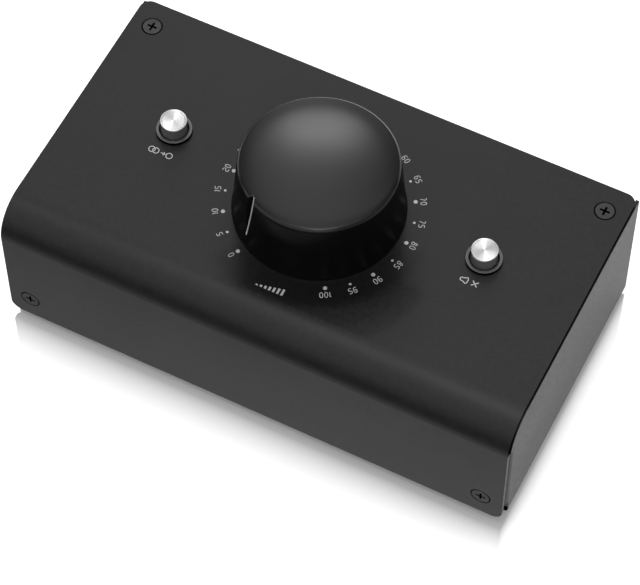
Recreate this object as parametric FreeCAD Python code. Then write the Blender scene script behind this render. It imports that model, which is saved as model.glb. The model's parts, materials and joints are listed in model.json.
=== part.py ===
"""Desktop volume controller for a pair of studio monitors.

A folded steel box with a numbered volume knob and two push buttons on top,
and jack sockets in a recessed panel at the back.

Millimetres. X runs to the right, Y to the back and Z up. The origin is the
middle of the box at the level of the table. Each node is one STEP file.
"""

import FreeCAD, Part
import math
import os

os.makedirs("parts", exist_ok=True)

V = FreeCAD.Vector
X_DIR = V(1, 0, 0)
Y_DIR = V(0, 1, 0)
Z_DIR = V(0, 0, 1)

# ---- Case: top cover ----
COVER_HALF_X = 72.85
COVER_FRONT_Y = -40.0
COVER_REAR_Y = 39.9
COVER_TOP = 45.0
COVER_BOTTOM = 2.0
COVER_SHEET = 1.2
COVER_BEND = 10.0          # outer radius of the bend between top and front
COVER_CORNER = 3.0         # rounded corners of the flat sheet
COVER_UNDERSIDE = COVER_TOP - COVER_SHEET

# ---- Case: chassis ----
CHASSIS_HALF_X = 73.15
CHASSIS_REAR_Y = 40.0
CHASSIS_BOTTOM = 1.0
CHASSIS_SHEET = 1.0
CHASSIS_BEND = 1.2         # outer radius of the bends along the bottom
CHASSIS_GAP = 0.15         # air between the chassis and the cover
CHASSIS_REAR_CORNER = 1.5
FLOOR_TOP = CHASSIS_BOTTOM + CHASSIS_SHEET
FLANGE_BEND = 2.0          # outer radius of the front flange's bend
FLANGE_LOW = 6.5
FLANGE_HIGH = 34.6
FLANGE_REACH = 14.0        # how far the front flange runs inwards
LIP_HALF_X = 56.0          # stiffening lip along the front of the floor
LIP_HIGH = 12.0

# ---- Case: rear panel ----
REAR_FACE_Y = 37.9
REAR_SHEET = 1.0
REAR_HALF_X = 72.0
REAR_BEND = 1.6
REAR_LOW_FLANGE = 7.0
REAR_TOP_FLANGE = 12.0
REAR_TOP = COVER_UNDERSIDE - CHASSIS_GAP
REAR_INSIDE_Y = REAR_FACE_Y - REAR_SHEET
REAR_SEAT = 0.03           # air under the rear panel's lower flange

# ---- Case: screws and feet ----
SCREW_X = 66.6
TOP_SCREW_Y = 32.3
FRONT_SCREW_Z = 9.5
HEAD_R = 2.62
HEAD_LAND = 0.15
HEAD_SUNK = 0.05           # how far the heads sit below the sheet
SINK_R = 2.95              # mouth of the countersink
SHANK_R = 1.45
SHANK_LENGTH = 6.0
TAPPED_R = 1.5
COLLAR_R = 2.6
COLLAR_DEPTH = 1.6
CROSS_WIDTH = 0.62
CROSS_SPAN = 3.0
CROSS_DEPTH = 0.95
FOOT_R = 6.0
FOOT_X = 62.0
FOOT_Y = 29.0
FOOT_CHAMFER = 0.3

# ---- Knob ----
DIAL_Y = 0.35
KNOB_BASE = 45.6
KNOB_SIDE = ((22.80, 45.60), (22.42, 48.0), (22.05, 52.0), (21.70, 56.0),
             (21.40, 60.0), (21.05, 63.3))                # (radius, height)
KNOB_RIM_R = 20.3
KNOB_RIM_Z = 65.3
KNOB_DOME = 0.7
KNOB_WALL = 1.9
KNOB_CEILING = 61.8
KNOB_RIBS = 6
RIB_THICK = 1.2
RIB_LOW = 54.0
BOSS_R = 6.2
BOSS_LOW = 49.3
POINTER_ANGLE = -120.0     # the zero mark, seen from above
POINTER_WIDTH = 0.6
POINTER_LOW = 50.4
POINTER_DEPTH = 0.5
POINTER_TOP_R = 19.2
POINTER_GAP = 0.04

# ---- Potentiometer ----
SHAFT_R = 3.0
SHAFT_LOW = 33.7
SHAFT_HIGH = 60.2
SHAFT_FLAT = 2.3           # distance of the flat from the axis
SHAFT_FLAT_LOW = 49.2
BUSH_R = 4.0
BUSH_LOW = 49.5
BUSH_HIGH = 60.8
BUSH_SLIP = 0.02
BUSHING_R = 3.5
BUSHING_BORE = 3.03
BUSHING_HIGH = 48.6
BUSHING_FLANGE_R = 5.4
CAN_R = 12.2
CAN_WALL = 0.6
CAN_LOW = 31.0
CAN_HIGH = COVER_UNDERSIDE - 0.1
WASHER_R = 6.2
WASHER_THICK = 0.5
NUT_FLATS = 10.0
NUT_THICK = 2.2
TRACK_THICK = 1.4
WIPER_R = 9.6
WIPER_LOW = 34.6
WIPER_THICK = 1.6

# ---- Push buttons ----
BUTTON_X = 45.0
BUTTON_Y = 4.7
BUTTON_TRAVEL = 2.5
CAP_R = 3.55
CAP_TOP = 49.7
CAP_THICK = 0.6
CAP_SPIGOT_R = 1.6
CAP_SPIGOT = 1.5
STEM_R = 3.48
STEM_LOW = 40.4
STEM_COLLAR_R = 4.3
STEM_COLLAR = 2.1
BEZEL_R = 4.87
BEZEL_BORE = 4.0
BEZEL_SLEEVE_R = 4.45
BEZEL_HEIGHT = 1.0
BEZEL_LOW = 42.9
PANEL_HOLE_R = 4.55
SWITCH_SIDE = 9.0
SWITCH_HIGH = 36.0
PLUNGER_SIDE = 3.0
PLUNGER_LOW = 33.2
PLUNGER_WELL = 4.4
PLUNGER_SLIP = 0.08
SPRING_R = 2.9
SPRING_WIRE = 0.17
SPRING_TURNS = 4

# ---- Boards ----
BOARD_THICK = 1.6
CONTROL_TOP = 29.5
CONTROL_HALF_X = 56.0
CONTROL_FRONT_Y = -14.0
CONTROL_REAR_Y = 13.0
SOCKET_TOP = 13.5
SOCKET_HALF_X = 65.0
SOCKET_FRONT_Y = 11.0
SOCKET_REAR_Y = 36.4
BOARD_CORNER = 2.0
STANDOFF_R = 2.6
STUD_R = 1.5
BOARD_HOLE_R = 1.7
BOARD_HEAD_R = 2.7
BOARD_HEAD = 1.8
CONTROL_POSTS = ((-52.0, -10.0), (52.0, -10.0), (-15.0, 7.4), (15.0, 7.4))
SOCKET_POSTS = ((-42.0, 25.0), (42.0, 25.0), (-42.0, 14.5), (42.0, 14.5))

# ---- Rear sockets ----
SOCKET_AXIS_Z = 20.0
JACK_XS = (-54.0, -30.0, 30.0, 54.0)
JACK_WIDTH = 12.5
JACK_HEIGHT = 13.0
JACK_BACK_Y = 9.0
JACK_BODY_Y = REAR_INSIDE_Y - 0.05
JACK_BORE = 3.2
JACK_BORE_DEPTH = 30.0
JACK_NOSE_R = 4.5
JACK_NOSE_Y = 39.9
JACK_HOLE_R = 4.7
JACK_NUT_R = 6.3
JACK_NUT_BORE = 4.55
JACK_NUT_THICK = 1.7
MINI_WIDTH = 8.0
MINI_HEIGHT = 10.5
MINI_BACK_Y = 22.5
MINI_BORE = 1.8
MINI_BORE_DEPTH = 15.0
MINI_NOSE_R = 3.0
MINI_NOSE_Y = 39.5
MINI_HOLE_R = 3.15
MINI_NUT_R = 4.1
MINI_NUT_BORE = 3.05

# ---- Flat cable ----
CABLE_HALF_WIDTH = 6.0
CABLE_THICK = 0.9
CABLE_Y = (-4.0, 13.8)
HEADER_HALF_X = 7.5
HEADER_DEPTH = 4.4
HEADER_HEIGHT = 3.4


# ---------------------------------------------------------------- helpers

def polygon_face(points):
    """Face bounded by straight lines through the points."""
    return Part.Face(Part.makePolygon(list(points) + [points[0]]))


def edges_face(edges):
    """Face bounded by edges given in order."""
    return Part.Face(Part.Wire(edges))


def arc_edge(first, middle, last):
    """Circular edge through three points."""
    return Part.Arc(first, middle, last).toShape()


def box(low, high):
    """Box between two opposite corners."""
    size = [b - a for a, b in zip(low, high)]
    return Part.makeBox(size[0], size[1], size[2], V(*low))


def rod(radius, low, high, x=0.0, y=0.0):
    """Upright cylinder between two heights."""
    return Part.makeCylinder(radius, high - low, V(x, y, low))


def ring(outer, inner, low, high, x=0.0, y=0.0):
    """Upright tube between two heights."""
    return rod(outer, low, high, x, y).cut(rod(inner, low - 1, high + 1, x, y))


def rod_y(radius, front, back, x, z):
    """Cylinder along Y."""
    return Part.makeCylinder(radius, back - front, V(x, front, z), Y_DIR)


def turned(points, x=0.0, y=0.0):
    """Solid turned about an upright axis from (radius, height) points."""
    face = polygon_face([V(x + r, y, z) for r, z in points])
    return face.revolve(V(x, y, 0), Z_DIR, 360)


def rounded_plate(half_x, front, back, low, high, radius):
    """Plate with four rounded upright corners."""
    plate = box((-half_x, front, low), (half_x, back, high))
    upright = [e for e in plate.Edges if abs(e.tangentAt(e.FirstParameter).z) > 0.9]
    return plate.makeFillet(radius, upright)


def hexagon(flats, low, high, x=0.0, y=0.0):
    """Upright hexagonal prism, given across its flats."""
    radius = flats / math.sqrt(3.0)
    corners = []
    for k in range(6):
        angle = math.radians(60.0 * k)
        corners.append(V(x + radius * math.cos(angle), y + radius * math.sin(angle), low))
    return polygon_face(corners).extrude(V(0, 0, high - low))


def save(name, shape):
    """Write one node, a single solid or a group of them."""
    if isinstance(shape, list):
        shape = Part.makeCompound(shape)
    shape.exportStep("parts/" + name + ".step")


# ---------------------------------------------------------------- case

def bend_profile(outset):
    """Outline of the cover's outer skin moved inwards by outset, in the YZ plane.

    Runs from the rear edge along the top, round the bend and down the front.
    Returns the edges in order and their first and last points.
    """
    radius = COVER_BEND - outset
    centre_y = COVER_FRONT_Y + COVER_BEND
    centre_z = COVER_TOP - COVER_BEND
    slant = radius / math.sqrt(2.0)
    rear = V(0, COVER_REAR_Y, centre_z + radius)
    top = V(0, centre_y, centre_z + radius)
    middle = V(0, centre_y - slant, centre_z + slant)
    front = V(0, centre_y - radius, centre_z)
    low = V(0, centre_y - radius, COVER_BOTTOM)
    edges = [Part.makeLine(rear, top), arc_edge(top, middle, front), Part.makeLine(front, low)]
    return edges, rear, low


def cover_sheet():
    """The bent sheet, before its corners are rounded and its holes are made."""
    outer, rear_out, low_out = bend_profile(0.0)
    inner, rear_in, low_in = bend_profile(COVER_SHEET)
    closing = [Part.makeLine(low_out, low_in), Part.makeLine(rear_in, rear_out)]
    inner_back = [inner[2], inner[1], inner[0]]
    face = edges_face(outer + [closing[0]] + inner_back + [closing[1]])
    sheet = face.extrude(V(2 * COVER_HALF_X, 0, 0))
    sheet.translate(V(-COVER_HALF_X, 0, 0))
    return sheet


def sheet_corner(edge):
    """True for the short edges at the sheet's four free corners."""
    if len(edge.Vertexes) != 2 or edge.Length > COVER_SHEET * 1.01:
        return False
    centre = edge.CenterOfMass
    at_side = abs(abs(centre.x) - COVER_HALF_X) < 0.01
    at_end = centre.y > COVER_REAR_Y - 0.01 or centre.z < COVER_BOTTOM + 0.01
    return at_side and at_end


def countersink(axis):
    """Tool for one countersunk hole, mouth at the origin, opening along axis."""
    throat = SINK_R - COVER_SHEET
    cone = Part.makeCone(throat, SINK_R, COVER_SHEET, axis * -COVER_SHEET, axis)
    mouth = Part.makeCylinder(SINK_R, 1.0, V(0, 0, 0), axis)
    through = Part.makeCylinder(throat, 2.0, axis * (-COVER_SHEET - 1.0), axis)
    return cone.fuse([mouth, through])


def top_cover():
    """Top and front of the case in one sheet with a wide bend."""
    sheet = cover_sheet()
    sheet = sheet.makeFillet(COVER_CORNER, [e for e in sheet.Edges if sheet_corner(e)])
    tools = [rod(BUSHING_R + 0.2, COVER_UNDERSIDE - 1, COVER_TOP + 1, 0, DIAL_Y)]
    for side in (-1, 1):
        tools.append(rod(PANEL_HOLE_R, COVER_UNDERSIDE - 1, COVER_TOP + 1, side * BUTTON_X, BUTTON_Y))
        tools.append(countersink(Z_DIR).translated(V(side * SCREW_X, TOP_SCREW_Y, COVER_TOP)))
        tools.append(countersink(Y_DIR * -1).translated(V(side * SCREW_X, COVER_FRONT_Y, FRONT_SCREW_Z)))
    return sheet.cut(tools)


def tray_section():
    """Cross-section of floor and side walls with rounded lower bends, in the XZ plane."""
    outer_r = CHASSIS_BEND
    inner_r = CHASSIS_BEND - CHASSIS_SHEET
    y = COVER_FRONT_Y

    def walls(half_x, low, radius):
        slant = radius * (1 - 1 / math.sqrt(2.0))
        left_top = V(-half_x, y, COVER_TOP)
        left_low = V(-half_x, y, low + radius)
        left_mid = V(-half_x + slant, y, low + slant)
        floor_left = V(-half_x + radius, y, low)
        floor_right = V(half_x - radius, y, low)
        right_mid = V(half_x - slant, y, low + slant)
        right_low = V(half_x, y, low + radius)
        right_top = V(half_x, y, COVER_TOP)
        return left_top, right_top, [
            Part.makeLine(left_top, left_low),
            arc_edge(left_low, left_mid, floor_left),
            Part.makeLine(floor_left, floor_right),
            arc_edge(floor_right, right_mid, right_low),
            Part.makeLine(right_low, right_top),
        ]

    out_left, out_right, outer = walls(CHASSIS_HALF_X, CHASSIS_BOTTOM, outer_r)
    in_left, in_right, inner = walls(CHASSIS_HALF_X - CHASSIS_SHEET, FLOOR_TOP, inner_r)
    inner.reverse()
    right_end = Part.makeLine(out_right, in_right)
    left_end = Part.makeLine(in_left, out_left)
    return edges_face(outer + [right_end] + inner + [left_end])


def side_outline():
    """Outline of a side wall: under the cover's skin, with a relief above the front flange."""
    edges, rear, low = bend_profile(COVER_SHEET + CHASSIS_GAP)
    arc_end = COVER_TOP - COVER_BEND
    front_y = COVER_FRONT_Y + COVER_SHEET + CHASSIS_GAP
    wall_y = COVER_FRONT_Y + COVER_SHEET + CHASSIS_GAP + FLANGE_BEND
    corner = CHASSIS_REAR_CORNER
    slant = corner * (1 - 1 / math.sqrt(2.0))
    bottom = CHASSIS_BOTTOM
    points = [V(0, front_y, arc_end), V(0, wall_y, arc_end), V(0, wall_y, bottom),
              V(0, CHASSIS_REAR_Y - corner, bottom)]
    rear_arc = arc_edge(points[3], V(0, CHASSIS_REAR_Y - slant, bottom + slant),
                        V(0, CHASSIS_REAR_Y, bottom + corner))
    rear_top = V(0, CHASSIS_REAR_Y, rear.z)
    outline = [edges[0], edges[1]]
    outline += [Part.makeLine(a, b) for a, b in zip(points[:-1], points[1:])]
    outline += [rear_arc, Part.makeLine(V(0, CHASSIS_REAR_Y, bottom + corner), rear_top)]
    outline.append(Part.makeLine(rear_top, rear))
    prism = edges_face(outline).extrude(V(2 * CHASSIS_HALF_X + 2, 0, 0))
    return prism.translated(V(-CHASSIS_HALF_X - 1, 0, 0))


def front_flange(side):
    """Flange bent in from one side wall behind the cover's front, with its tapped collar."""
    face_y = COVER_FRONT_Y + COVER_SHEET + CHASSIS_GAP
    wall_y = face_y + FLANGE_BEND
    outer_x = side * CHASSIS_HALF_X
    inner_x = side * (CHASSIS_HALF_X - CHASSIS_SHEET)
    bend_x = side * (CHASSIS_HALF_X - FLANGE_BEND)
    reach_x = side * (CHASSIS_HALF_X - FLANGE_REACH)
    outer_mid = FLANGE_BEND / math.sqrt(2.0)
    inner_mid = (FLANGE_BEND - CHASSIS_SHEET) / math.sqrt(2.0)
    z = FLANGE_LOW
    outline = [
        arc_edge(V(outer_x, wall_y, z), V(bend_x + side * outer_mid, wall_y - outer_mid, z),
                 V(bend_x, face_y, z)),
        Part.makeLine(V(bend_x, face_y, z), V(reach_x, face_y, z)),
        Part.makeLine(V(reach_x, face_y, z), V(reach_x, face_y + CHASSIS_SHEET, z)),
        Part.makeLine(V(reach_x, face_y + CHASSIS_SHEET, z), V(bend_x, face_y + CHASSIS_SHEET, z)),
        arc_edge(V(bend_x, face_y + CHASSIS_SHEET, z),
                 V(bend_x + side * inner_mid, wall_y - inner_mid, z), V(inner_x, wall_y, z)),
        Part.makeLine(V(inner_x, wall_y, z), V(outer_x, wall_y, z)),
    ]
    flange = edges_face(outline).extrude(V(0, 0, FLANGE_HIGH - FLANGE_LOW))
    collar_end = face_y + CHASSIS_SHEET + COLLAR_DEPTH
    collar = rod_y(COLLAR_R, face_y, collar_end, side * SCREW_X, FRONT_SCREW_Z)
    thread = rod_y(TAPPED_R, face_y - 1, collar_end + 1, side * SCREW_X, FRONT_SCREW_Z)
    return flange.fuse(collar).cut(thread)


def floor_lip():
    """Stiffening lip bent up along the front edge of the floor."""
    face_y = COVER_FRONT_Y + COVER_SHEET + CHASSIS_GAP
    wall_y = face_y + FLANGE_BEND
    low = CHASSIS_BOTTOM
    bend_z = low + FLANGE_BEND
    outer_mid = FLANGE_BEND / math.sqrt(2.0)
    inner_mid = (FLANGE_BEND - CHASSIS_SHEET) / math.sqrt(2.0)
    x = -LIP_HALF_X
    outline = [
        arc_edge(V(x, wall_y, low), V(x, wall_y - outer_mid, bend_z - outer_mid), V(x, face_y, bend_z)),
        Part.makeLine(V(x, face_y, bend_z), V(x, face_y, LIP_HIGH)),
        Part.makeLine(V(x, face_y, LIP_HIGH), V(x, face_y + CHASSIS_SHEET, LIP_HIGH)),
        Part.makeLine(V(x, face_y + CHASSIS_SHEET, LIP_HIGH), V(x, face_y + CHASSIS_SHEET, bend_z)),
        arc_edge(V(x, face_y + CHASSIS_SHEET, bend_z),
                 V(x, wall_y - inner_mid, bend_z - inner_mid), V(x, wall_y, low + CHASSIS_SHEET)),
        Part.makeLine(V(x, wall_y, low + CHASSIS_SHEET), V(x, wall_y, low)),
    ]
    return edges_face(outline).extrude(V(2 * LIP_HALF_X, 0, 0))


def chassis():
    """Floor, side walls, front flanges and front lip folded from one sheet."""
    length = CHASSIS_REAR_Y - COVER_FRONT_Y
    tray = tray_section().extrude(V(0, length, 0)).common(side_outline())
    return tray.fuse([front_flange(-1), front_flange(1), floor_lip()]).removeSplitter()


def rear_section():
    """Cross-section of the rear panel with its two flanges, in the YZ plane."""
    inner_r = REAR_BEND - REAR_SHEET
    outer_mid = REAR_BEND * (1 - 1 / math.sqrt(2.0))
    inner_mid = inner_r * (1 - 1 / math.sqrt(2.0))
    low = FLOOR_TOP + REAR_SEAT
    high = REAR_TOP
    face = REAR_FACE_Y
    inside = REAR_INSIDE_Y
    low_end = face - REAR_LOW_FLANGE
    high_end = face - REAR_TOP_FLANGE
    x = -REAR_HALF_X
    outline = [
        Part.makeLine(V(x, low_end, low), V(x, face - REAR_BEND, low)),
        arc_edge(V(x, face - REAR_BEND, low), V(x, face - outer_mid, low + outer_mid),
                 V(x, face, low + REAR_BEND)),
        Part.makeLine(V(x, face, low + REAR_BEND), V(x, face, high - REAR_BEND)),
        arc_edge(V(x, face, high - REAR_BEND), V(x, face - outer_mid, high - outer_mid),
                 V(x, face - REAR_BEND, high)),
        Part.makeLine(V(x, face - REAR_BEND, high), V(x, high_end, high)),
        Part.makeLine(V(x, high_end, high), V(x, high_end, high - REAR_SHEET)),
        Part.makeLine(V(x, high_end, high - REAR_SHEET), V(x, face - REAR_BEND, high - REAR_SHEET)),
        arc_edge(V(x, face - REAR_BEND, high - REAR_SHEET),
                 V(x, inside - inner_mid, high - REAR_SHEET - inner_mid), V(x, inside, high - REAR_BEND)),
        Part.makeLine(V(x, inside, high - REAR_BEND), V(x, inside, low + REAR_BEND)),
        arc_edge(V(x, inside, low + REAR_BEND), V(x, inside - inner_mid, low + REAR_SHEET + inner_mid),
                 V(x, face - REAR_BEND, low + REAR_SHEET)),
        Part.makeLine(V(x, face - REAR_BEND, low + REAR_SHEET), V(x, low_end, low + REAR_SHEET)),
        Part.makeLine(V(x, low_end, low + REAR_SHEET), V(x, low_end, low)),
    ]
    return edges_face(outline)


def rear_panel():
    """Recessed rear panel with socket holes and tapped collars for the cover's screws."""
    panel = rear_section().extrude(V(2 * REAR_HALF_X, 0, 0))
    collar_low = REAR_TOP - REAR_SHEET - COLLAR_DEPTH
    collars = [rod(COLLAR_R, collar_low, REAR_TOP, side * SCREW_X, TOP_SCREW_Y) for side in (-1, 1)]
    threads = [rod(TAPPED_R, collar_low - 1, REAR_TOP + 1, side * SCREW_X, TOP_SCREW_Y) for side in (-1, 1)]
    holes = [rod_y(JACK_HOLE_R, REAR_INSIDE_Y - 1, REAR_FACE_Y + 1, x, SOCKET_AXIS_Z) for x in JACK_XS]
    holes.append(rod_y(MINI_HOLE_R, REAR_INSIDE_Y - 1, REAR_FACE_Y + 1, 0, SOCKET_AXIS_Z))
    return panel.fuse(collars).cut(threads + holes)


# ---------------------------------------------------------------- screws and feet

def cross_recess():
    """Tool for a cross recess, mouth at the origin, opening along +Z."""
    half = CROSS_SPAN / 2
    width = CROSS_WIDTH / 2
    bars = []
    for turn in (0, 90):
        blade = polygon_face([V(-half, -width, 0.1), V(half, -width, 0.1),
                              V(half * 0.45, -width, -CROSS_DEPTH), V(-half * 0.45, -width, -CROSS_DEPTH)])
        bars.append(blade.extrude(V(0, CROSS_WIDTH, 0)).rotated(V(0, 0, 0), Z_DIR, turn))
    return bars[0].fuse(bars[1])


def cover_screw():
    """Countersunk cross-head screw, head face at the origin, shank down."""
    neck = HEAD_R - SHANK_R + HEAD_LAND
    body = turned([(0, 0), (HEAD_R, 0), (HEAD_R, -HEAD_LAND), (SHANK_R, -neck),
                   (SHANK_R, -SHANK_LENGTH + 0.6), (SHANK_R - 0.6, -SHANK_LENGTH), (0, -SHANK_LENGTH)])
    return body.cut(cross_recess())


def cover_screws_top():
    """Two screws through the cover into the rear panel's flange."""
    height = COVER_TOP - HEAD_SUNK
    return [cover_screw().translated(V(side * SCREW_X, TOP_SCREW_Y, height)) for side in (-1, 1)]


def cover_screws_front():
    """Two screws through the cover's front into the chassis flanges."""
    facing = cover_screw().rotated(V(0, 0, 0), X_DIR, 90)
    face_y = COVER_FRONT_Y + HEAD_SUNK
    return [facing.translated(V(side * SCREW_X, face_y, FRONT_SCREW_Z)) for side in (-1, 1)]


def feet():
    """Four low rubber pads under the floor."""
    pads = []
    for x in (-FOOT_X, FOOT_X):
        for y in (-FOOT_Y, FOOT_Y):
            pads.append(turned([(0, 0), (FOOT_R - FOOT_CHAMFER, 0), (FOOT_R, FOOT_CHAMFER),
                                (FOOT_R, CHASSIS_BOTTOM), (0, CHASSIS_BOTTOM)], x, y))
    return pads


# ---------------------------------------------------------------- knob

def knob_skin():
    """Edges of the knob's outer skin from its base, over the rim, to the middle of the top."""
    side = [V(r, DIAL_Y, z) for r, z in KNOB_SIDE]
    curve = Part.BSplineCurve()
    curve.interpolate(side)
    last = side[-1]
    rim = V(KNOB_RIM_R, DIAL_Y, KNOB_RIM_Z)
    shoulder = V(last.x - 0.22 * (last.x - rim.x), DIAL_Y, last.z + 0.72 * (rim.z - last.z))
    crown = V(0, DIAL_Y, KNOB_RIM_Z + KNOB_DOME)
    dome_mid = V(KNOB_RIM_R / 2, DIAL_Y, KNOB_RIM_Z + KNOB_DOME * 0.75)
    return [curve.toShape(), arc_edge(last, shoulder, rim), arc_edge(rim, dome_mid, crown)], side[0], crown


def knob_blank():
    """Solid of the knob's outer shape."""
    skin, base, crown = knob_skin()
    centre = V(0, DIAL_Y, base.z)
    face = edges_face(skin + [Part.makeLine(crown, centre), Part.makeLine(centre, base)])
    return face.revolve(V(0, DIAL_Y, 0), Z_DIR, 360)


def knob_hollow():
    """Hollow underneath the knob, leaving the wall, the ceiling, the boss and the ribs."""
    inner = [(r - KNOB_WALL, z) for r, z in KNOB_SIDE if z < KNOB_CEILING]
    low_r = inner[0][0]
    points = [(BOSS_R, BOSS_LOW), (0, BOSS_LOW), (0, KNOB_BASE - 1), (low_r, KNOB_BASE - 1)] + inner
    points += [(inner[-1][0], KNOB_CEILING), (BOSS_R, KNOB_CEILING)]
    hollow = turned(points, 0, DIAL_Y)
    rib = box((BOSS_R - 1, -RIB_THICK / 2, RIB_LOW), (low_r, RIB_THICK / 2, KNOB_CEILING + 1))
    ribs = []
    for k in range(KNOB_RIBS):
        angle = 360.0 * (k + 0.5) / KNOB_RIBS
        ribs.append(rib.rotated(V(0, 0, 0), Z_DIR, angle).translated(V(0, DIAL_Y, 0)))
    return hollow.cut(ribs)


def pointer_band(width, outset, depth, low, top_r):
    """Narrow radial slab that follows the knob's skin at the pointer's angle.

    It keeps the part of the skin from low up over the rim to the radius top_r.
    """
    slab = box((top_r, -width / 2, low), (30.0, width / 2, KNOB_RIM_Z + 2))
    slab = slab.rotated(V(0, 0, 0), Z_DIR, POINTER_ANGLE).translated(V(0, DIAL_Y, 0))
    outer = knob_blank().scaled(1.0 + outset / KNOB_RIM_R, V(0, DIAL_Y, KNOB_BASE))
    core = knob_blank().scaled(1.0 - depth / KNOB_RIM_R, V(0, DIAL_Y, KNOB_BASE))
    return slab.common(outer).cut(core)


def bush_bore(slip):
    """D-shaped prism of the shaft's end, grown by slip."""
    flat = SHAFT_FLAT + slip
    prism = rod(SHAFT_R + slip, BUSH_LOW - 1, SHAFT_HIGH + 0.2, 0, DIAL_Y)
    return prism.cut(box((-5, DIAL_Y + flat, BUSH_LOW - 2), (5, DIAL_Y + 5, SHAFT_HIGH + 1)))


def volume_knob():
    """Hollow moulded knob with a flared side, domed top, boss and ribs."""
    knob = knob_blank().cut(knob_hollow())
    knob = knob.cut(rod(BUSH_R + BUSH_SLIP, BOSS_LOW - 1, BUSH_HIGH + 0.1, 0, DIAL_Y))
    groove = pointer_band(POINTER_WIDTH + 2 * POINTER_GAP, 0.5, POINTER_DEPTH + POINTER_GAP,
                          POINTER_LOW - POINTER_GAP, POINTER_TOP_R - POINTER_GAP)
    return knob.cut(groove)


def knob_pointer():
    """Thin pale line let into the knob's side and over its rim."""
    return pointer_band(POINTER_WIDTH, 0.02, POINTER_DEPTH, POINTER_LOW, POINTER_TOP_R)


def knob_bush():
    """Brass insert in the knob's boss, with the D-shaped hole that grips the shaft."""
    return rod(BUSH_R, BUSH_LOW, BUSH_HIGH, 0, DIAL_Y).cut(bush_bore(BUSH_SLIP))


# ---------------------------------------------------------------- potentiometer

def pot_shaft():
    """Shaft with a flat at the knob's end."""
    shaft = rod(SHAFT_R, SHAFT_LOW, SHAFT_HIGH, 0, DIAL_Y)
    shaft = shaft.makeChamfer(0.4, [e for e in shaft.Edges if abs(e.CenterOfMass.z - SHAFT_HIGH) < 0.01
                                    and e.Length > 10])
    flat = box((-5, DIAL_Y + SHAFT_FLAT, SHAFT_FLAT_LOW), (5, DIAL_Y + 5, SHAFT_HIGH + 1))
    return shaft.cut(flat)


def pot_wiper():
    """Rotor that carries the wipers, fixed on the shaft inside the can."""
    disc = ring(WIPER_R, SHAFT_R + BUSH_SLIP, WIPER_LOW, WIPER_LOW + WIPER_THICK, 0, DIAL_Y)
    hub = ring(SHAFT_R + 1.6, SHAFT_R + BUSH_SLIP, WIPER_LOW + WIPER_THICK, WIPER_LOW + 4.0, 0, DIAL_Y)
    window = box((4.8, DIAL_Y - 1.4, WIPER_LOW - 1),
                 (WIPER_R - 1.2, DIAL_Y + 1.4, WIPER_LOW + WIPER_THICK + 1))
    return disc.fuse(hub).cut(window)


def pot_track():
    """Resistance track on its wafer, at the bottom of the can."""
    low = CAN_LOW + CAN_WALL
    wafer = rod(CAN_R - CAN_WALL - 0.1, low, low + TRACK_THICK, 0, DIAL_Y)
    track = ring(WIPER_R - 1.0, 5.4, low + TRACK_THICK, low + TRACK_THICK + 0.2, 0, DIAL_Y)
    gap = box((-1.8, DIAL_Y - CAN_R, low + TRACK_THICK - 0.01), (1.8, DIAL_Y, low + TRACK_THICK + 1))
    return wafer.fuse(track.cut(gap))


def pot_can():
    """Hollow metal can under the cover."""
    can = rod(CAN_R, CAN_LOW, CAN_HIGH, 0, DIAL_Y)
    can = can.makeFillet(0.5, [e for e in can.Edges if abs(e.CenterOfMass.z - CAN_HIGH) < 0.01])
    inside = rod(CAN_R - CAN_WALL, CAN_LOW + CAN_WALL, CAN_HIGH - CAN_WALL, 0, DIAL_Y)
    mouth = rod(BUSHING_R + 0.02, CAN_HIGH - 1, CAN_HIGH + 1, 0, DIAL_Y)
    return can.cut([inside, mouth])


def pot_bushing():
    """Brass bushing through the cover, flanged inside the can."""
    low = CAN_HIGH - CAN_WALL
    flange = rod(BUSHING_FLANGE_R, low - 1.0, low - 0.02, 0, DIAL_Y)
    neck = rod(BUSHING_R, low - 1.0, BUSHING_HIGH, 0, DIAL_Y)
    neck = neck.makeChamfer(0.3, [e for e in neck.Edges if abs(e.CenterOfMass.z - BUSHING_HIGH) < 0.01
                                  and e.Length > 10])
    return flange.fuse(neck).cut(rod(BUSHING_BORE, low - 2, BUSHING_HIGH + 1, 0, DIAL_Y))


def pot_washer():
    """Washer on top of the cover."""
    return ring(WASHER_R, BUSHING_R + 0.15, COVER_TOP, COVER_TOP + WASHER_THICK, 0, DIAL_Y)


def pot_nut():
    """Hexagonal nut that clamps the potentiometer to the cover."""
    low = COVER_TOP + WASHER_THICK
    nut = hexagon(NUT_FLATS, low, low + NUT_THICK, 0, DIAL_Y)
    corner_r = NUT_FLATS / math.sqrt(3.0)
    crown = Part.makeCone(corner_r + 0.9, NUT_FLATS / 2 - 0.1, NUT_THICK, V(0, DIAL_Y, low))
    return nut.common(crown).cut(rod(BUSHING_R + 0.03, low - 1, low + NUT_THICK + 1, 0, DIAL_Y))


def pot_pins():
    """Six terminals between the can and the control board."""
    pins = []
    for row in (-7.5, -10.0):
        y = DIAL_Y + row
        for x in (-5.0, 0.0, 5.0):
            pins.append(box((x - 0.4, y - 0.3, CONTROL_TOP), (x + 0.4, y + 0.3, CAN_LOW)))
    return pins


# ---------------------------------------------------------------- push buttons

def button_cap(x):
    """Turned metal disc on top of the button, with a spigot below."""
    low = CAP_TOP - CAP_THICK
    return turned([(0, CAP_TOP - 0.08), (CAP_R - 0.35, CAP_TOP), (CAP_R - 0.12, CAP_TOP),
                   (CAP_R, CAP_TOP - 0.12), (CAP_R, low), (CAP_SPIGOT_R, low),
                   (CAP_SPIGOT_R, low - CAP_SPIGOT), (0, low - CAP_SPIGOT)], x, BUTTON_Y)


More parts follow.
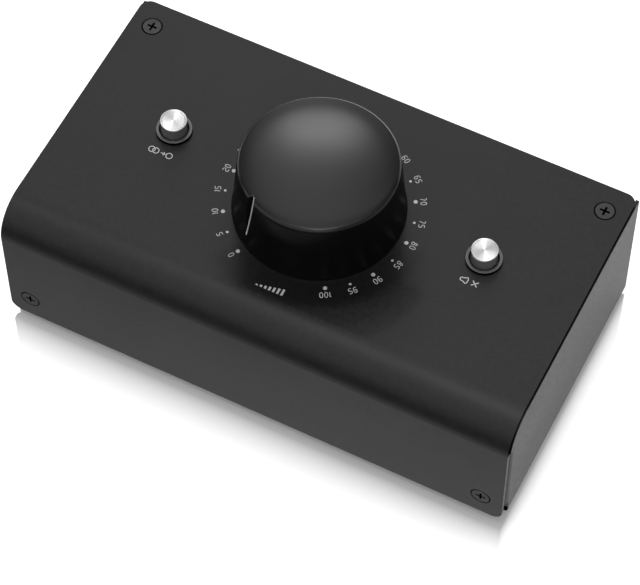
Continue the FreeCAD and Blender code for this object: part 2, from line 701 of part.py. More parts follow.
def button_stem(x):
    """Dark moulded stem with a collar that keeps it under the bezel."""
    high = CAP_TOP - CAP_THICK
    stem = turned([(0, STEM_LOW), (STEM_COLLAR_R, STEM_LOW), (STEM_COLLAR_R, STEM_LOW + STEM_COLLAR),
                   (STEM_R, STEM_LOW + STEM_COLLAR), (STEM_R, high), (0, high)], x, BUTTON_Y)
    recess = rod(CAP_SPIGOT_R + 0.05, high - CAP_SPIGOT - 0.1, high + 1, x, BUTTON_Y)
    socket = plunger_prism(x, PLUNGER_SIDE + 0.06, STEM_LOW - 1, STEM_LOW + 3.05)
    return stem.cut([recess, socket])


def plunger_prism(x, side, low, high):
    """Square upright prism on a button's axis."""
    half = side / 2
    return box((x - half, BUTTON_Y - half, low), (x + half, BUTTON_Y + half, high))


def button_plunger(x):
    """Square plunger between the stem and the inside of the switch."""
    return plunger_prism(x, PLUNGER_SIDE, PLUNGER_LOW, STEM_LOW + 3.0)


def button_bezel(x):
    """Flanged ring round the button, its sleeve through the cover."""
    high = COVER_TOP + BEZEL_HEIGHT
    profile = [(BEZEL_BORE, BEZEL_LOW), (BEZEL_SLEEVE_R, BEZEL_LOW), (BEZEL_SLEEVE_R, COVER_TOP),
               (BEZEL_R, COVER_TOP), (BEZEL_R, high - 0.25), (BEZEL_R - 0.08, high - 0.08),
               (BEZEL_R - 0.25, high), (BEZEL_BORE + 0.12, high), (BEZEL_BORE, high - 0.12)]
    return turned(profile, x, BUTTON_Y)


def button_switch(x):
    """Switch body on the control board with the well that guides the plunger."""
    half = SWITCH_SIDE / 2
    body = box((x - half, BUTTON_Y - half, CONTROL_TOP), (x + half, BUTTON_Y + half, SWITCH_HIGH))
    upright = [e for e in body.Edges if abs(e.tangentAt(e.FirstParameter).z) > 0.9]
    body = body.makeFillet(0.6, upright)
    guide = plunger_prism(x, PLUNGER_SIDE + 2 * PLUNGER_SLIP, CONTROL_TOP, SWITCH_HIGH + 1)
    well = plunger_prism(x, PLUNGER_WELL, CONTROL_TOP + 0.6, SWITCH_HIGH - 1.2)
    keep = plunger_prism(x, SWITCH_SIDE, CONTROL_TOP + 0.6, SWITCH_HIGH + 2)
    return body.cut([well, guide.common(keep)])


def button_spring(x):
    """Coil spring between the switch and the stem."""
    low = SWITCH_HIGH + SPRING_WIRE + 0.05
    height = STEM_LOW - SPRING_WIRE - 0.05 - low
    helix = Part.makeHelix(height / SPRING_TURNS, height, SPRING_R)
    square = SPRING_WIRE
    section = Part.makePolygon([V(SPRING_R - square, 0, -square), V(SPRING_R + square, 0, -square),
                                V(SPRING_R + square, 0, square), V(SPRING_R - square, 0, square),
                                V(SPRING_R - square, 0, -square)])
    coil = Part.Wire(helix).makePipeShell([section], True, True)
    return coil.translated(V(x, BUTTON_Y, low))


# ---------------------------------------------------------------- boards

def drilled_board(half_x, front, back, top, posts):
    """Circuit board with rounded corners and a hole over each post."""
    board = rounded_plate(half_x, front, back, top - BOARD_THICK, top, BOARD_CORNER)
    return board.cut([rod(BOARD_HOLE_R, top - BOARD_THICK - 1, top + 1, x, y) for x, y in posts])


def control_board():
    """Upper board, with the potentiometer and the switches on it."""
    return drilled_board(CONTROL_HALF_X, CONTROL_FRONT_Y, CONTROL_REAR_Y, CONTROL_TOP, CONTROL_POSTS)


def socket_board():
    """Lower board, with the rear sockets on it."""
    return drilled_board(SOCKET_HALF_X, SOCKET_FRONT_Y, SOCKET_REAR_Y, SOCKET_TOP, SOCKET_POSTS)


def standoffs():
    """Posts riveted to the floor that carry both boards."""
    posts = []
    for places, top in ((CONTROL_POSTS, CONTROL_TOP), (SOCKET_POSTS, SOCKET_TOP)):
        for x, y in places:
            post = hexagon(2 * STANDOFF_R, FLOOR_TOP, top - BOARD_THICK, x, y)
            posts.append(post.cut(rod(STUD_R, top - BOARD_THICK - 6.0, top, x, y)))
    return posts


def board_screws():
    """Pan-head screws through the boards into the posts."""
    screws = []
    for places, top in ((CONTROL_POSTS, CONTROL_TOP), (SOCKET_POSTS, SOCKET_TOP)):
        for x, y in places:
            high = top + BOARD_HEAD
            profile = [(0, top - 6.0), (SHANK_R, top - 6.0), (SHANK_R, top), (BOARD_HEAD_R, top),
                       (BOARD_HEAD_R, high - 0.9), (BOARD_HEAD_R - 0.9, high), (0, high)]
            screws.append(turned(profile, x, y))
    return screws


def flat_cable():
    """Flat cable bent in an S between the two boards."""
    front, back = CABLE_Y
    start = CONTROL_TOP - BOARD_THICK - HEADER_HEIGHT
    end = SOCKET_TOP + HEADER_HEIGHT
    half = CABLE_THICK / 2
    bend = (start - end) / 2
    level = (start + end) / 2
    x = -CABLE_HALF_WIDTH

    def quarter(centre_y, centre_z, radius, angles):
        points = []
        for angle in map(math.radians, angles):
            points.append(V(x, centre_y + radius * math.cos(angle), centre_z + radius * math.sin(angle)))
        return arc_edge(*points)

    first = (front + bend, start)
    last = (back - bend, end)
    outline = [
        quarter(first[0], first[1], bend + half, (180, 225, 270)),
        Part.makeLine(V(x, first[0], level - half), V(x, last[0], level - half)),
        quarter(last[0], last[1], bend - half, (90, 45, 0)),
        Part.makeLine(V(x, back - half, end), V(x, back + half, end)),
        quarter(last[0], last[1], bend + half, (0, 45, 90)),
        Part.makeLine(V(x, last[0], level + half), V(x, first[0], level + half)),
        quarter(first[0], first[1], bend - half, (270, 225, 180)),
        Part.makeLine(V(x, front + half, start), V(x, front - half, start)),
    ]
    return edges_face(outline).extrude(V(2 * CABLE_HALF_WIDTH, 0, 0))


def cable_headers():
    """Two plastic headers that hold the ends of the flat cable."""
    high = CONTROL_TOP - BOARD_THICK
    depth = HEADER_DEPTH / 2
    front, back = CABLE_Y
    upper = box((-HEADER_HALF_X, front - depth, high - HEADER_HEIGHT), (HEADER_HALF_X, front + depth, high))
    lower = box((-HEADER_HALF_X, back - depth, SOCKET_TOP),
                (HEADER_HALF_X, back + depth, SOCKET_TOP + HEADER_HEIGHT))
    return [upper, lower]


# ---------------------------------------------------------------- rear sockets

def jack_body(x, width, height, back_y, nose_r, nose_y, bore, depth):
    """Socket housing on the socket board with a nose through the rear panel and a blind bore."""
    low = SOCKET_TOP
    housing = box((x - width / 2, back_y, low), (x + width / 2, JACK_BODY_Y, low + height))
    along = [e for e in housing.Edges
             if abs(e.tangentAt(e.FirstParameter).y) > 0.9 and e.CenterOfMass.z > low + 1]
    housing = housing.makeFillet(1.0, along)
    nose = rod_y(nose_r, JACK_BODY_Y - 1, nose_y, x, SOCKET_AXIS_Z)
    nose = nose.makeChamfer(0.3, [e for e in nose.Edges if abs(e.CenterOfMass.y - nose_y) < 0.01])
    return housing.fuse(nose).cut(rod_y(bore, nose_y - depth, nose_y + 1, x, SOCKET_AXIS_Z))


def line_jacks():
    """Four sockets for 6.35 mm plugs."""
    return [jack_body(x, JACK_WIDTH, JACK_HEIGHT, JACK_BACK_Y, JACK_NOSE_R, JACK_NOSE_Y,
                      JACK_BORE, JACK_BORE_DEPTH) for x in JACK_XS]


def mini_jack():
    """Socket for a 3.5 mm plug."""
    return jack_body(0.0, MINI_WIDTH, MINI_HEIGHT, MINI_BACK_Y, MINI_NOSE_R, MINI_NOSE_Y,
                     MINI_BORE, MINI_BORE_DEPTH)


def ring_nut(x, outer, bore, slots):
    """Slotted round nut on a socket's nose."""
    front = REAR_FACE_Y + 0.05
    back = front + JACK_NUT_THICK
    nut = rod_y(outer, front, back, x, SOCKET_AXIS_Z)
    nut = nut.makeChamfer(0.3, [e for e in nut.Edges if abs(e.CenterOfMass.y - back) < 0.01])
    nut = nut.cut(rod_y(bore, front - 1, back + 1, x, SOCKET_AXIS_Z))
    cuts = []
    for k in range(slots):
        cut = box((-0.6, back - 0.8, outer - 1.0), (0.6, back + 1, outer + 1.0))
        cuts.append(cut.rotated(V(0, 0, 0), Y_DIR, 360.0 * k / slots).translated(V(x, 0, SOCKET_AXIS_Z)))
    return nut.cut(cuts)


def line_jack_nuts():
    """Four nuts on the noses of the large sockets."""
    return [ring_nut(x, JACK_NUT_R, JACK_NUT_BORE, 6) for x in JACK_XS]


def mini_jack_nut():
    """Nut on the small socket's nose."""
    return ring_nut(0.0, MINI_NUT_R, MINI_NUT_BORE, 2)


# ---------------------------------------------------------------- build

NODES = {
    "top_cover": top_cover,
    "chassis": chassis,
    "rear_panel": rear_panel,
    "cover_screws_top": cover_screws_top,
    "cover_screws_front": cover_screws_front,
    "feet": feet,
    "volume_knob": volume_knob,
    "knob_pointer": knob_pointer,
    "knob_bush": knob_bush,
    "pot_shaft": pot_shaft,
    "pot_wiper": pot_wiper,
    "pot_track": pot_track,
    "pot_can": pot_can,
    "pot_bushing": pot_bushing,
    "pot_washer": pot_washer,
    "pot_nut": pot_nut,
    "pot_pins": pot_pins,
    "control_board": control_board,
    "socket_board": socket_board,
    "standoffs": standoffs,
    "board_screws": board_screws,
    "flat_cable": flat_cable,
    "cable_headers": cable_headers,
    "line_jacks": line_jacks,
    "line_jack_nuts": line_jack_nuts,
    "mini_jack": mini_jack,
    "mini_jack_nut": mini_jack_nut,
}

BUTTON_PIECES = {
    "cap": button_cap,
    "stem": button_stem,
    "plunger": button_plunger,
    "bezel": button_bezel,
    "switch": button_switch,
    "spring": button_spring,
}

for node, make in NODES.items():
    save(node, make())

for button, button_x in (("left", -BUTTON_X), ("right", BUTTON_X)):
    for piece, make in BUTTON_PIECES.items():
        save(button + "_button_" + piece, make(button_x))
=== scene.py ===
"""Desktop volume controller: finishes, knob, buttons, dial print, table, lights and view.

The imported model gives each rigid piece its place. This script dresses those pieces, rebuilds the turned and
moulded ones as fine surfaces, prints the dial, and sets the table, the lights and the camera. Sizes in the
classes are millimetres; a mesh is put into metres when it is built.
"""

import json
import logging
import math
from dataclasses import dataclass, field
from enum import Enum
from typing import Any, Callable, ClassVar, Iterable, Sequence

import bpy
import numpy as np
from mathutils import Matrix, Vector


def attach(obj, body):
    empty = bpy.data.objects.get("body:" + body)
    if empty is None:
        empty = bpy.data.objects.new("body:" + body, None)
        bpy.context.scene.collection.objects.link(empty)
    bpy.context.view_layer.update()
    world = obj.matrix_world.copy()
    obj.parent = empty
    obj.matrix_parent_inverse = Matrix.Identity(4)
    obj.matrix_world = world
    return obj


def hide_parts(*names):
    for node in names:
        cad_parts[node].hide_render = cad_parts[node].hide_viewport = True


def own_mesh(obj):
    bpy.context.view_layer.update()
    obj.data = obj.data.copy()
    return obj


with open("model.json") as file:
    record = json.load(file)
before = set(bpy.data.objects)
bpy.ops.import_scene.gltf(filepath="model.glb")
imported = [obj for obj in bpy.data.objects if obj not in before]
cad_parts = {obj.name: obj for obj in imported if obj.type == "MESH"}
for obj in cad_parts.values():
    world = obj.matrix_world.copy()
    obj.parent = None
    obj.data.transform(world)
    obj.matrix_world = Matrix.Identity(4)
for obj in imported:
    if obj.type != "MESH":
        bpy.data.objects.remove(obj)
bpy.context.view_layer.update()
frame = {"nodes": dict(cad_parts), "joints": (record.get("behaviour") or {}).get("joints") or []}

MM = 0.001
Colour = tuple[float, float, float, float]
Ramp = tuple[float, float, float, float]
Pair = tuple[float, float]
log = logging.getLogger("controller")


class Part(Enum):
    """The four bodies that move apart."""

    CASE = "case"
    KNOB = "knob"
    LEFT_BUTTON = "left_button"
    RIGHT_BUTTON = "right_button"


class Slot(Enum):
    """Names for material slots of the pieces that are built here; nothing in the script uses them."""

    KNOB = "knob_plastic"
    INLAY = "pale_inlay"
    BRIGHT = "bright_steel"
    PLASTIC = "black_plastic"
    TURNED = "turned_metal"


# ---------------------------------------------------------------- surfaces

@dataclass
class Surface:
    """Triangle surface in millimetres.

    Args:
        points: Array of n points, one row each.
        faces: Array of m triangles, three point numbers in a row.
    """

    points: np.ndarray
    faces: np.ndarray

    @staticmethod
    def from_grid(grid: np.ndarray, wrap_rows: bool = False, wrap_cols: bool = False) -> "Surface":
        """Two triangles for each cell of a grid of points.

        The cell between row i, i+1 and column j, j+1 is cut along its diagonal. Going along a row and then
        on to the next row turns anticlockwise round the outward normal.

        Args:
            grid: Points as rows x columns x 3.
            wrap_rows: Joins the last row to the first.
            wrap_cols: Joins the last column to the first.

        Returns:
            The surface, not yet welded.
        """
        rows, cols = grid.shape[:2]
        r, c = np.meshgrid(np.arange(rows if wrap_rows else rows - 1),
                           np.arange(cols if wrap_cols else cols - 1), indexing="ij")
        r1, c1 = (r + 1) % rows, (c + 1) % cols
        a, b, d, e = r * cols + c, r * cols + c1, r1 * cols + c, r1 * cols + c1
        faces = np.concatenate([np.stack([a, b, e], -1), np.stack([a, e, d], -1)]).reshape(-1, 3)
        return Surface(grid.reshape(-1, 3), faces)

    @staticmethod
    def joined(parts: Iterable["Surface"]) -> "Surface":
        """One surface made of several.

        Args:
            parts: The surfaces.

        Returns:
            All their points and triangles together.
        """
        parts = list(parts)
        starts = np.cumsum([0] + [len(p.points) for p in parts[:-1]])
        return Surface(np.concatenate([p.points for p in parts]),
                       np.concatenate([p.faces + s for p, s in zip(parts, starts)]))

    def welded(self, within: float = 1e-4) -> "Surface":
        """Same surface with coincident points merged and empty triangles dropped.

        Args:
            within: Points nearer than about this, in millimetres, become one.

        Returns:
            The closed surface.
        """
        keys = np.round(self.points / within).astype(np.int64)
        _, first, back = np.unique(keys, axis=0, return_index=True, return_inverse=True)
        faces = back.ravel()[self.faces]
        real = (faces != np.roll(faces, 1, 1)).all(1)
        return Surface(self.points[first], faces[real])

    def moved(self, x: float, y: float) -> "Surface":
        """Copy of the surface, shifted by x, y millimetres."""
        return Surface(self.points + np.array([x, y, 0.0]), self.faces)

    def turned(self, degrees: float) -> "Surface":
        """Copy of the surface, turned anticlockwise about the z axis by the degrees."""
        c, s = math.cos(math.radians(degrees)), math.sin(math.radians(degrees))
        return Surface(self.points @ np.array([[c, s, 0], [-s, c, 0], [0, 0, 1]]), self.faces)

    def build(self, name: str, sharp_degrees: float = 35.0) -> bpy.types.Object:
        """Blender object of the surface at the origin, smooth except at sharp edges.

        Args:
            name: The object's and the mesh's name.
            sharp_degrees: Edges that bend more than this stay sharp.

        Returns:
            The linked object.
        """
        solid = self.welded()
        mesh = bpy.data.meshes.new(name)
        mesh.from_pydata((solid.points * MM).tolist(), [], solid.faces.tolist())
        mesh.validate()
        mesh.shade_smooth()
        mesh.set_sharp_from_angle(angle=math.radians(sharp_degrees))
        return linked(name, mesh)


def linked(name: str, data: bpy.types.ID) -> bpy.types.Object:
    """New object of a mesh, a lamp or a camera, put into the scene.

    Args:
        name: Its name.
        data: What it shows.

    Returns:
        The object.
    """
    made = bpy.data.objects.new(name, data)
    bpy.context.scene.collection.objects.link(made)
    return made


def lathe(profile: np.ndarray, x: float, y: float, steps: int = 96, closed: bool = False) -> Surface:
    """Surface of revolution about the upright line through x, y.

    The point for angle t and profile point (r, h) is (x + r cos t, y + r sin t, h). A profile that runs up
    the outside, over the top and down the inside gives outward faces.

    Args:
        profile: Rows of radius and height in millimetres.
        x: The axis's x.
        y: The axis's y.
        steps: Number of even steps round.
        closed: Joins the profile's last point to its first.

    Returns:
        The surface.
    """
    t = np.arange(steps) * (2 * np.pi / steps)
    r, h = profile[:, 0:1], profile[:, 1:2]
    grid = np.stack([x + r * np.cos(t), y + r * np.sin(t), h + 0 * t], -1)
    return Surface.from_grid(grid, wrap_rows=closed, wrap_cols=True)


def arc(r: float, h: float, radius: float, start: float, end: float, steps: int) -> np.ndarray:
    """Arc in a profile: (r + radius cos a, h + radius sin a) for even steps of a from start to end degrees."""
    a = np.radians(np.linspace(start, end, steps + 1))
    return np.stack([r + radius * np.cos(a), h + radius * np.sin(a)], -1)


def spline(knots: Sequence[Sequence[float]], per_run: int = 8) -> np.ndarray:
    """Smooth curve through the knots.

    Between knots p1 and p2 it is the cubic that has the slope (p2 - p0) / 2 at p1 and (p3 - p1) / 2 at p2;
    the end knots are carried on by mirroring.

    Args:
        knots: Points the curve passes through.
        per_run: Steps between two knots.

    Returns:
        The curve's points, last knot included.
    """
    k = np.asarray(knots, float)
    k = np.concatenate([[2 * k[0] - k[1]], k, [2 * k[-1] - k[-2]]])
    t = np.linspace(0, 1, per_run, endpoint=False)[None, :, None]
    p0, p1, p2, p3 = (k[i:len(k) - 3 + i, None, :] for i in range(4))
    body = 0.5 * (2 * p1 + (p2 - p0) * t + (2 * p0 - 5 * p1 + 4 * p2 - p3) * t ** 2
                  + (3 * p1 - p0 - 3 * p2 + p3) * t ** 3)
    return np.concatenate([body.reshape(-1, k.shape[1]), k[-2:-1]])


def units(rows: np.ndarray) -> np.ndarray:
    """Rows scaled to length 1."""
    return rows / np.linalg.norm(rows, axis=1, keepdims=True)


def swept(path: np.ndarray, side: np.ndarray, up: np.ndarray, outline: np.ndarray,
          ring: bool = False) -> Surface:
    """Profile carried along a path.

    The point for path point i and outline point (a, b) is path[i] + a side[i] + b up[i]. Side cross up
    points along the path, and the outline runs from side towards up, so the faces point outwards.

    Args:
        path: Points of the path.
        side: Unit sideways direction at each path point.
        up: Unit upward direction at each path point.
        outline: Closed outline in side and up, millimetres.
        ring: The path closes on itself, so it has no ends.

    Returns:
        The surface, with both ends closed unless it is a ring.
    """
    grid = path[:, None] + outline[None, :, 0:1] * side[:, None] + outline[None, :, 1:2] * up[:, None]
    skin = Surface.from_grid(grid, wrap_rows=ring, wrap_cols=True)
    if ring:
        return skin
    n, last = len(outline), (len(path) - 1) * len(outline)
    k = np.arange(1, n - 1)
    start = np.stack([0 * k, k + 1, k], -1)
    end = last + np.stack([0 * k, k, k + 1], -1)
    return Surface(skin.points, np.concatenate([skin.faces, start, end]))


def rounded_path(corners: Sequence[Sequence[float]], ring: bool, cuts: int) -> np.ndarray:
    """Path with its corners cut round.

    Each pass puts two points on every run, a quarter in from its ends, and drops the corner between them.

    Args:
        corners: Corner points in the plane.
        ring: The path closes on itself.
        cuts: Number of passes.

    Returns:
        The rounded path's points.
    """
    p = np.asarray(corners, float)
    for _ in range(cuts):
        q = np.roll(p, -1, 0) if ring else p[1:]
        head = p if ring else p[:-1]
        pair = np.stack([0.75 * head + 0.25 * q, 0.25 * head + 0.75 * q], 1).reshape(-1, 2)
        p = pair if ring else np.concatenate([p[:1], pair[1:-1], p[-1:]])
    return p


def stroke(path: np.ndarray, width: float, low: float, high: float, ring: bool = False) -> Surface:
    """Flat printed stroke: a low rectangle with eased upper edges carried along a path in the plane.

    Args:
        path: Points in the plane.
        width: Stroke width.
        low: Height of its underside.
        high: Height of its face.
        ring: The path closes on itself.

    Returns:
        The surface.
    """
    ahead, behind = np.roll(path, -1, 0), np.roll(path, 1, 0)
    if not ring:
        ahead[-1], behind[0] = path[-1], path[0]
    along, zero = units(ahead - behind), np.zeros(len(path))
    side = np.stack([-along[:, 1], along[:, 0], zero], -1)
    up = np.tile([0.0, 0.0, 1.0], (len(path), 1))
    w, t, ease = width / 2, high - low, min(0.15 * width, high - low)
    half = np.array([[w, 0], [w, t - 0.5 * ease], [w - ease, t]])
    outline = np.concatenate([half, half[::-1] * [-1, 1]])
    return swept(np.concatenate([path, zero[:, None] + low], 1), side, up, outline, ring)


def blob(x: float, y: float, radius: float, low: float, high: float) -> Surface:
    """Printed dot: a disc whose face swells from its rim as high - (high - low) p^4 over the radius share p.

    Args:
        x: Its middle's x.
        y: Its middle's y.
        radius: Its radius.
        low: Height of its underside.
        high: Height of its middle.

    Returns:
        The surface.
    """
    share = np.linspace(1, 0, 7)
    profile = np.stack([radius * share, high - (high - low) * share ** 4], -1)
    return lathe(np.concatenate([[[0.0, low]], profile]), x, y, 28)


def block(low: Sequence[float], high: Sequence[float], ease: float) -> Surface:
    """Upright block with eased corners: a rounded rectangle carried from its underside to its top.

    Args:
        low: Lowest corner.
        high: Highest corner.
        ease: Corner radius.

    Returns:
        The surface.
    """
    (x0, y0, z0), (x1, y1, z1) = low, high
    a = np.radians(np.arange(16) * 30.0 - (np.arange(16) // 4) * 30.0)
    inner = np.repeat([[x1 - ease, y1 - ease], [x0 + ease, y1 - ease], [x0 + ease, y0 + ease],
                       [x1 - ease, y0 + ease]], 4, axis=0)
    rim = inner + ease * np.stack([np.cos(a), np.sin(a)], -1)
    middle = np.array([(x0 + x1) / 2, (y0 + y1) / 2]) + 0 * rim
    rows = [(middle, z0), (inner, z0), (rim, z0 + ease), (rim, z1 - ease), (inner, z1), (middle, z1)]
    grid = np.stack([np.concatenate([p, np.full((16, 1), z)], 1) for p, z in rows])
    return Surface.from_grid(grid, wrap_cols=True)


# ---------------------------------------------------------------- shader building

class Value:
    """Output of a node that can be reckoned with like a number.

    Args:
        graph: The graph it belongs to.
        socket: The output.
    """

    def __init__(self, graph: "Graph", socket: bpy.types.NodeSocket) -> None:
        """Keeps both."""
        self.graph, self.socket = graph, socket

    def __add__(self, other: Any) -> "Value":
        """The sum."""
        return self.graph.math("ADD", self, other)

    def __sub__(self, other: Any) -> "Value":
        """The difference."""
        return self.graph.math("SUBTRACT", self, other)

    def __rsub__(self, other: float) -> "Value":
        """A number less this."""
        return self.graph.math("SUBTRACT", other, self)

    def __mul__(self, other: Any) -> "Value":
        """The product."""
        return self.graph.math("MULTIPLY", self, other)

    def __abs__(self) -> "Value":
        """The distance from nought."""
        return self.graph.math("ABSOLUTE", self)


class Graph:
    """One shader node tree, built node by node.

    Args:
        tree: The node tree.
    """

    def __init__(self, tree: bpy.types.NodeTree) -> None:
        """Keeps the tree."""
        self.tree = tree

    def node(self, kind: str, sockets: dict[Any, Any] | None = None, **settings: Any) -> bpy.types.Node:
        """New node.

        Args:
            kind: Node type without the ShaderNode prefix.
            sockets: Values for its inputs, by name or number.
            settings: The node's own properties.

        Returns:
            The node.
        """
        made = self.tree.nodes.new("ShaderNode" + kind)
        for key, value in settings.items():
            setattr(made, key, value)
        for key, value in (sockets or {}).items():
            self.feed(made.inputs[key], value)
        return made

    def value(self, kind: str, sockets: dict[Any, Any] | None = None, out: Any = 0, **settings: Any) -> Value:
        """The output of a new node; takes what node takes, and the output's name or number."""
        return Value(self, self.node(kind, sockets, **settings).outputs[out])

    def feed(self, socket: bpy.types.NodeSocket, value: Any) -> None:
        """Links an input or gives it a value.

        Args:
            socket: The input.
            value: A value of the graph, a node (its first output) or a plain number or colour.
        """
        if isinstance(value, bpy.types.Node):
            value = Value(self, value.outputs[0])
        if isinstance(value, Value):
            self.tree.links.new(value.socket, socket)
        else:
            socket.default_value = value

    def math(self, operation: str, a: Any, b: Any = 0.0, clamp: bool = False) -> Value:
        """Result of a Math node of two values."""
        return self.value("Math", {0: a, 1: b}, operation=operation, use_clamp=clamp)

    def most(self, a: Any, b: Any) -> Value:
        """The larger of two values."""
        return self.math("MAXIMUM", a, b)

    def far(self, x: Value, y: Value) -> Value:
        """Length of the vector x, y."""
        return self.math("SQRT", x * x + y * y)

    def ramp(self, value: Any, low: float, high: float, at_low: float = 0.0, at_high: float = 1.0) -> Value:
        """Smooth step from at_low, where the value is low or less, to at_high, where it is high or more."""
        sockets = {"Value": value, "From Min": low, "From Max": high, "To Min": at_low, "To Max": at_high}
        return self.value("MapRange", sockets, interpolation_type="SMOOTHSTEP")

    def mix(self, share: Any, a: Any, b: Any) -> Value:
        """Colour between a, where the share is 0, and b, where it is 1."""
        return self.value("Mix", {0: share, 6: a, 7: b}, 2, data_type="RGBA")

    def place(self) -> Value:
        """Object coordinates, which are metres in the model's frame."""
        return self.value("TexCoord", out="Object")

    def parts(self, vector: Any) -> tuple[Value, ...]:
        """The x, y and z of a vector."""
        return tuple(Value(self, s) for s in self.node("SeparateXYZ", {0: vector}).outputs)

    def group(self, tree: bpy.types.NodeTree, **inputs: Any) -> tuple[Value, ...]:
        """Places a shared node group.

        Args:
            tree: The group.
            inputs: Values for its inputs.

        Returns:
            Its outputs.
        """
        made = self.tree.nodes.new("ShaderNodeGroup")
        made.node_tree = tree
        for key, value in inputs.items():
            self.feed(made.inputs[key], value)
        return tuple(Value(self, s) for s in made.outputs)


def bare_material(name: str) -> bpy.types.Material:
    """New material without nodes.

    Args:
        name: Its name.

    Returns:
        The material.
    """
    made = bpy.data.materials.new(name)
    made.use_nodes = True
    made.node_tree.nodes.clear()
    return made


def grey(value: float) -> Colour:
    """Neutral colour of a linear value."""
    return (value, value, value, 1.0)


def tinted(base: Colour, share: float) -> Colour:
    """Colour times a share, no brighter than white."""
    return tuple(min(1.0, c * share) for c in base[:3]) + (1.0,)


def shared_group(name: str, recipe: Callable[..., dict[str, Value]], **inputs: float) -> bpy.types.NodeTree:
    """New node group with a Vector input, number inputs and value outputs.

    Args:
        name: Its name.
        recipe: Makes the outputs, by name, of the graph and the inputs.
        inputs: Default of each number input.

    Returns:
        The group.
    """
    tree = bpy.data.node_groups.new(name, "ShaderNodeTree")
    tree.interface.new_socket(name="Vector", in_out="INPUT", socket_type="NodeSocketVector")
    for key, default in inputs.items():
        made = tree.interface.new_socket(name=key, in_out="INPUT", socket_type="NodeSocketFloat")
        made.default_value = default
    g, into = Graph(tree), tree.nodes.new("NodeGroupInput")
    results = recipe(g, *(Value(g, into.outputs[i]) for i in range(len(inputs) + 1)))
    for key in results:
        tree.interface.new_socket(name=key, in_out="OUTPUT", socket_type="NodeSocketFloat")
    out = tree.nodes.new("NodeGroupOutput")
    for key, value in results.items():
        g.feed(out.inputs[key], value)
    return tree


class SharedEffects:
    """Node groups that several finishes use."""

    def __init__(self) -> None:
        """Builds each group once."""
        self.grain = shared_group("fine_grain", self.make_grain, Scale=2000.0)
        self.rings = shared_group("turned_rings", self.make_rings, X=0.0, Y=0.0, Pitch=0.0001)
        self.edges = shared_group("edge_wear", self.make_edges, Width=0.0002, Break=0.5)
        self.clouds = shared_group("soft_patches", self.make_clouds, Scale=60.0)

    @staticmethod
    def make_grain(g: Graph, vector: Value, scale: Value) -> dict[str, Value]:
        """Fine surface grain.

        Args:
            g: The graph.
            vector: Where.
            scale: Grains per metre.

        Returns:
            Height for bumps, Mottle for tone and Speck for rare tiny spots.
        """
        fine = g.value("TexNoise", {"Vector": vector, "Scale": scale, "Detail": 2.0, "Roughness": 0.55})
        broad = g.value("TexNoise", {"Vector": vector, "Scale": scale * 0.3, "Detail": 3.0, "Roughness": 0.6})
        cells = g.value("TexVoronoi", {"Vector": vector, "Scale": scale * 0.22}, "Distance")
        return {"Height": fine, "Mottle": g.ramp(broad, 0.3, 0.7), "Speck": g.ramp(cells, 0.05, 0.12, 1.0, 0.0)}

    @staticmethod
    def make_rings(g: Graph, vector: Value, axis_x: Value, axis_y: Value, pitch: Value) -> dict[str, Value]:
        """Turning marks round an upright axis: an uneven wave of the distance from it.

        Args:
            g: The graph.
            vector: Where.
            axis_x: The axis's x.
            axis_y: The axis's y.
            pitch: Distance of the marks.

        Returns:
            Height of the wave, and the Distance.
        """
        x, y, _ = g.parts(vector)
        far = g.far(x - axis_x, y - axis_y)
        wave = {"W": g.math("DIVIDE", far, pitch), "Scale": 1.0, "Detail": 2.0}
        return {"Height": g.value("TexNoise", wave, noise_dimensions="1D"), "Distance": far}

    @staticmethod
    def make_edges(g: Graph, vector: Value, width: Value, gaps: Value) -> dict[str, Value]:
        """Rubbed edges: where the normal, eased over the width, leaves the true one.

        Args:
            g: The graph.
            vector: Where.
            width: How wide the edge is.
            gaps: How far patches break it up.

        Returns:
            Mask that is 1 on edges.
        """
        eased = g.value("Bevel", {"Radius": width}, samples=4)
        true = g.value("NewGeometry", out="Normal")
        same = g.value("VectorMath", {0: eased, 1: true}, "Value", operation="DOT_PRODUCT")
        patch = g.value("TexNoise", {"Vector": vector, "Scale": 900.0, "Detail": 4.0})
        whole = 1.0 - g.ramp(patch, 0.35, 0.65, 1.0, 0.0) * gaps
        return {"Mask": g.math("MULTIPLY", g.ramp(same, 0.86, 0.995, 1.0, 0.0), whole, clamp=True)}

    @staticmethod
    def make_clouds(g: Graph, vector: Value, scale: Value) -> dict[str, Value]:
        """Broad soft patches, for handling marks in the gloss.

        Args:
            g: The graph.
            vector: Where.
            scale: Patches per metre.

        Returns:
            Mask of the patches.
        """
        noise = g.value("TexNoise", {"Vector": vector, "Scale": scale, "Detail": 4.0, "Roughness": 0.6,
                                     "Distortion": 0.4})
        return {"Mask": g.ramp(noise, 0.35, 0.68)}


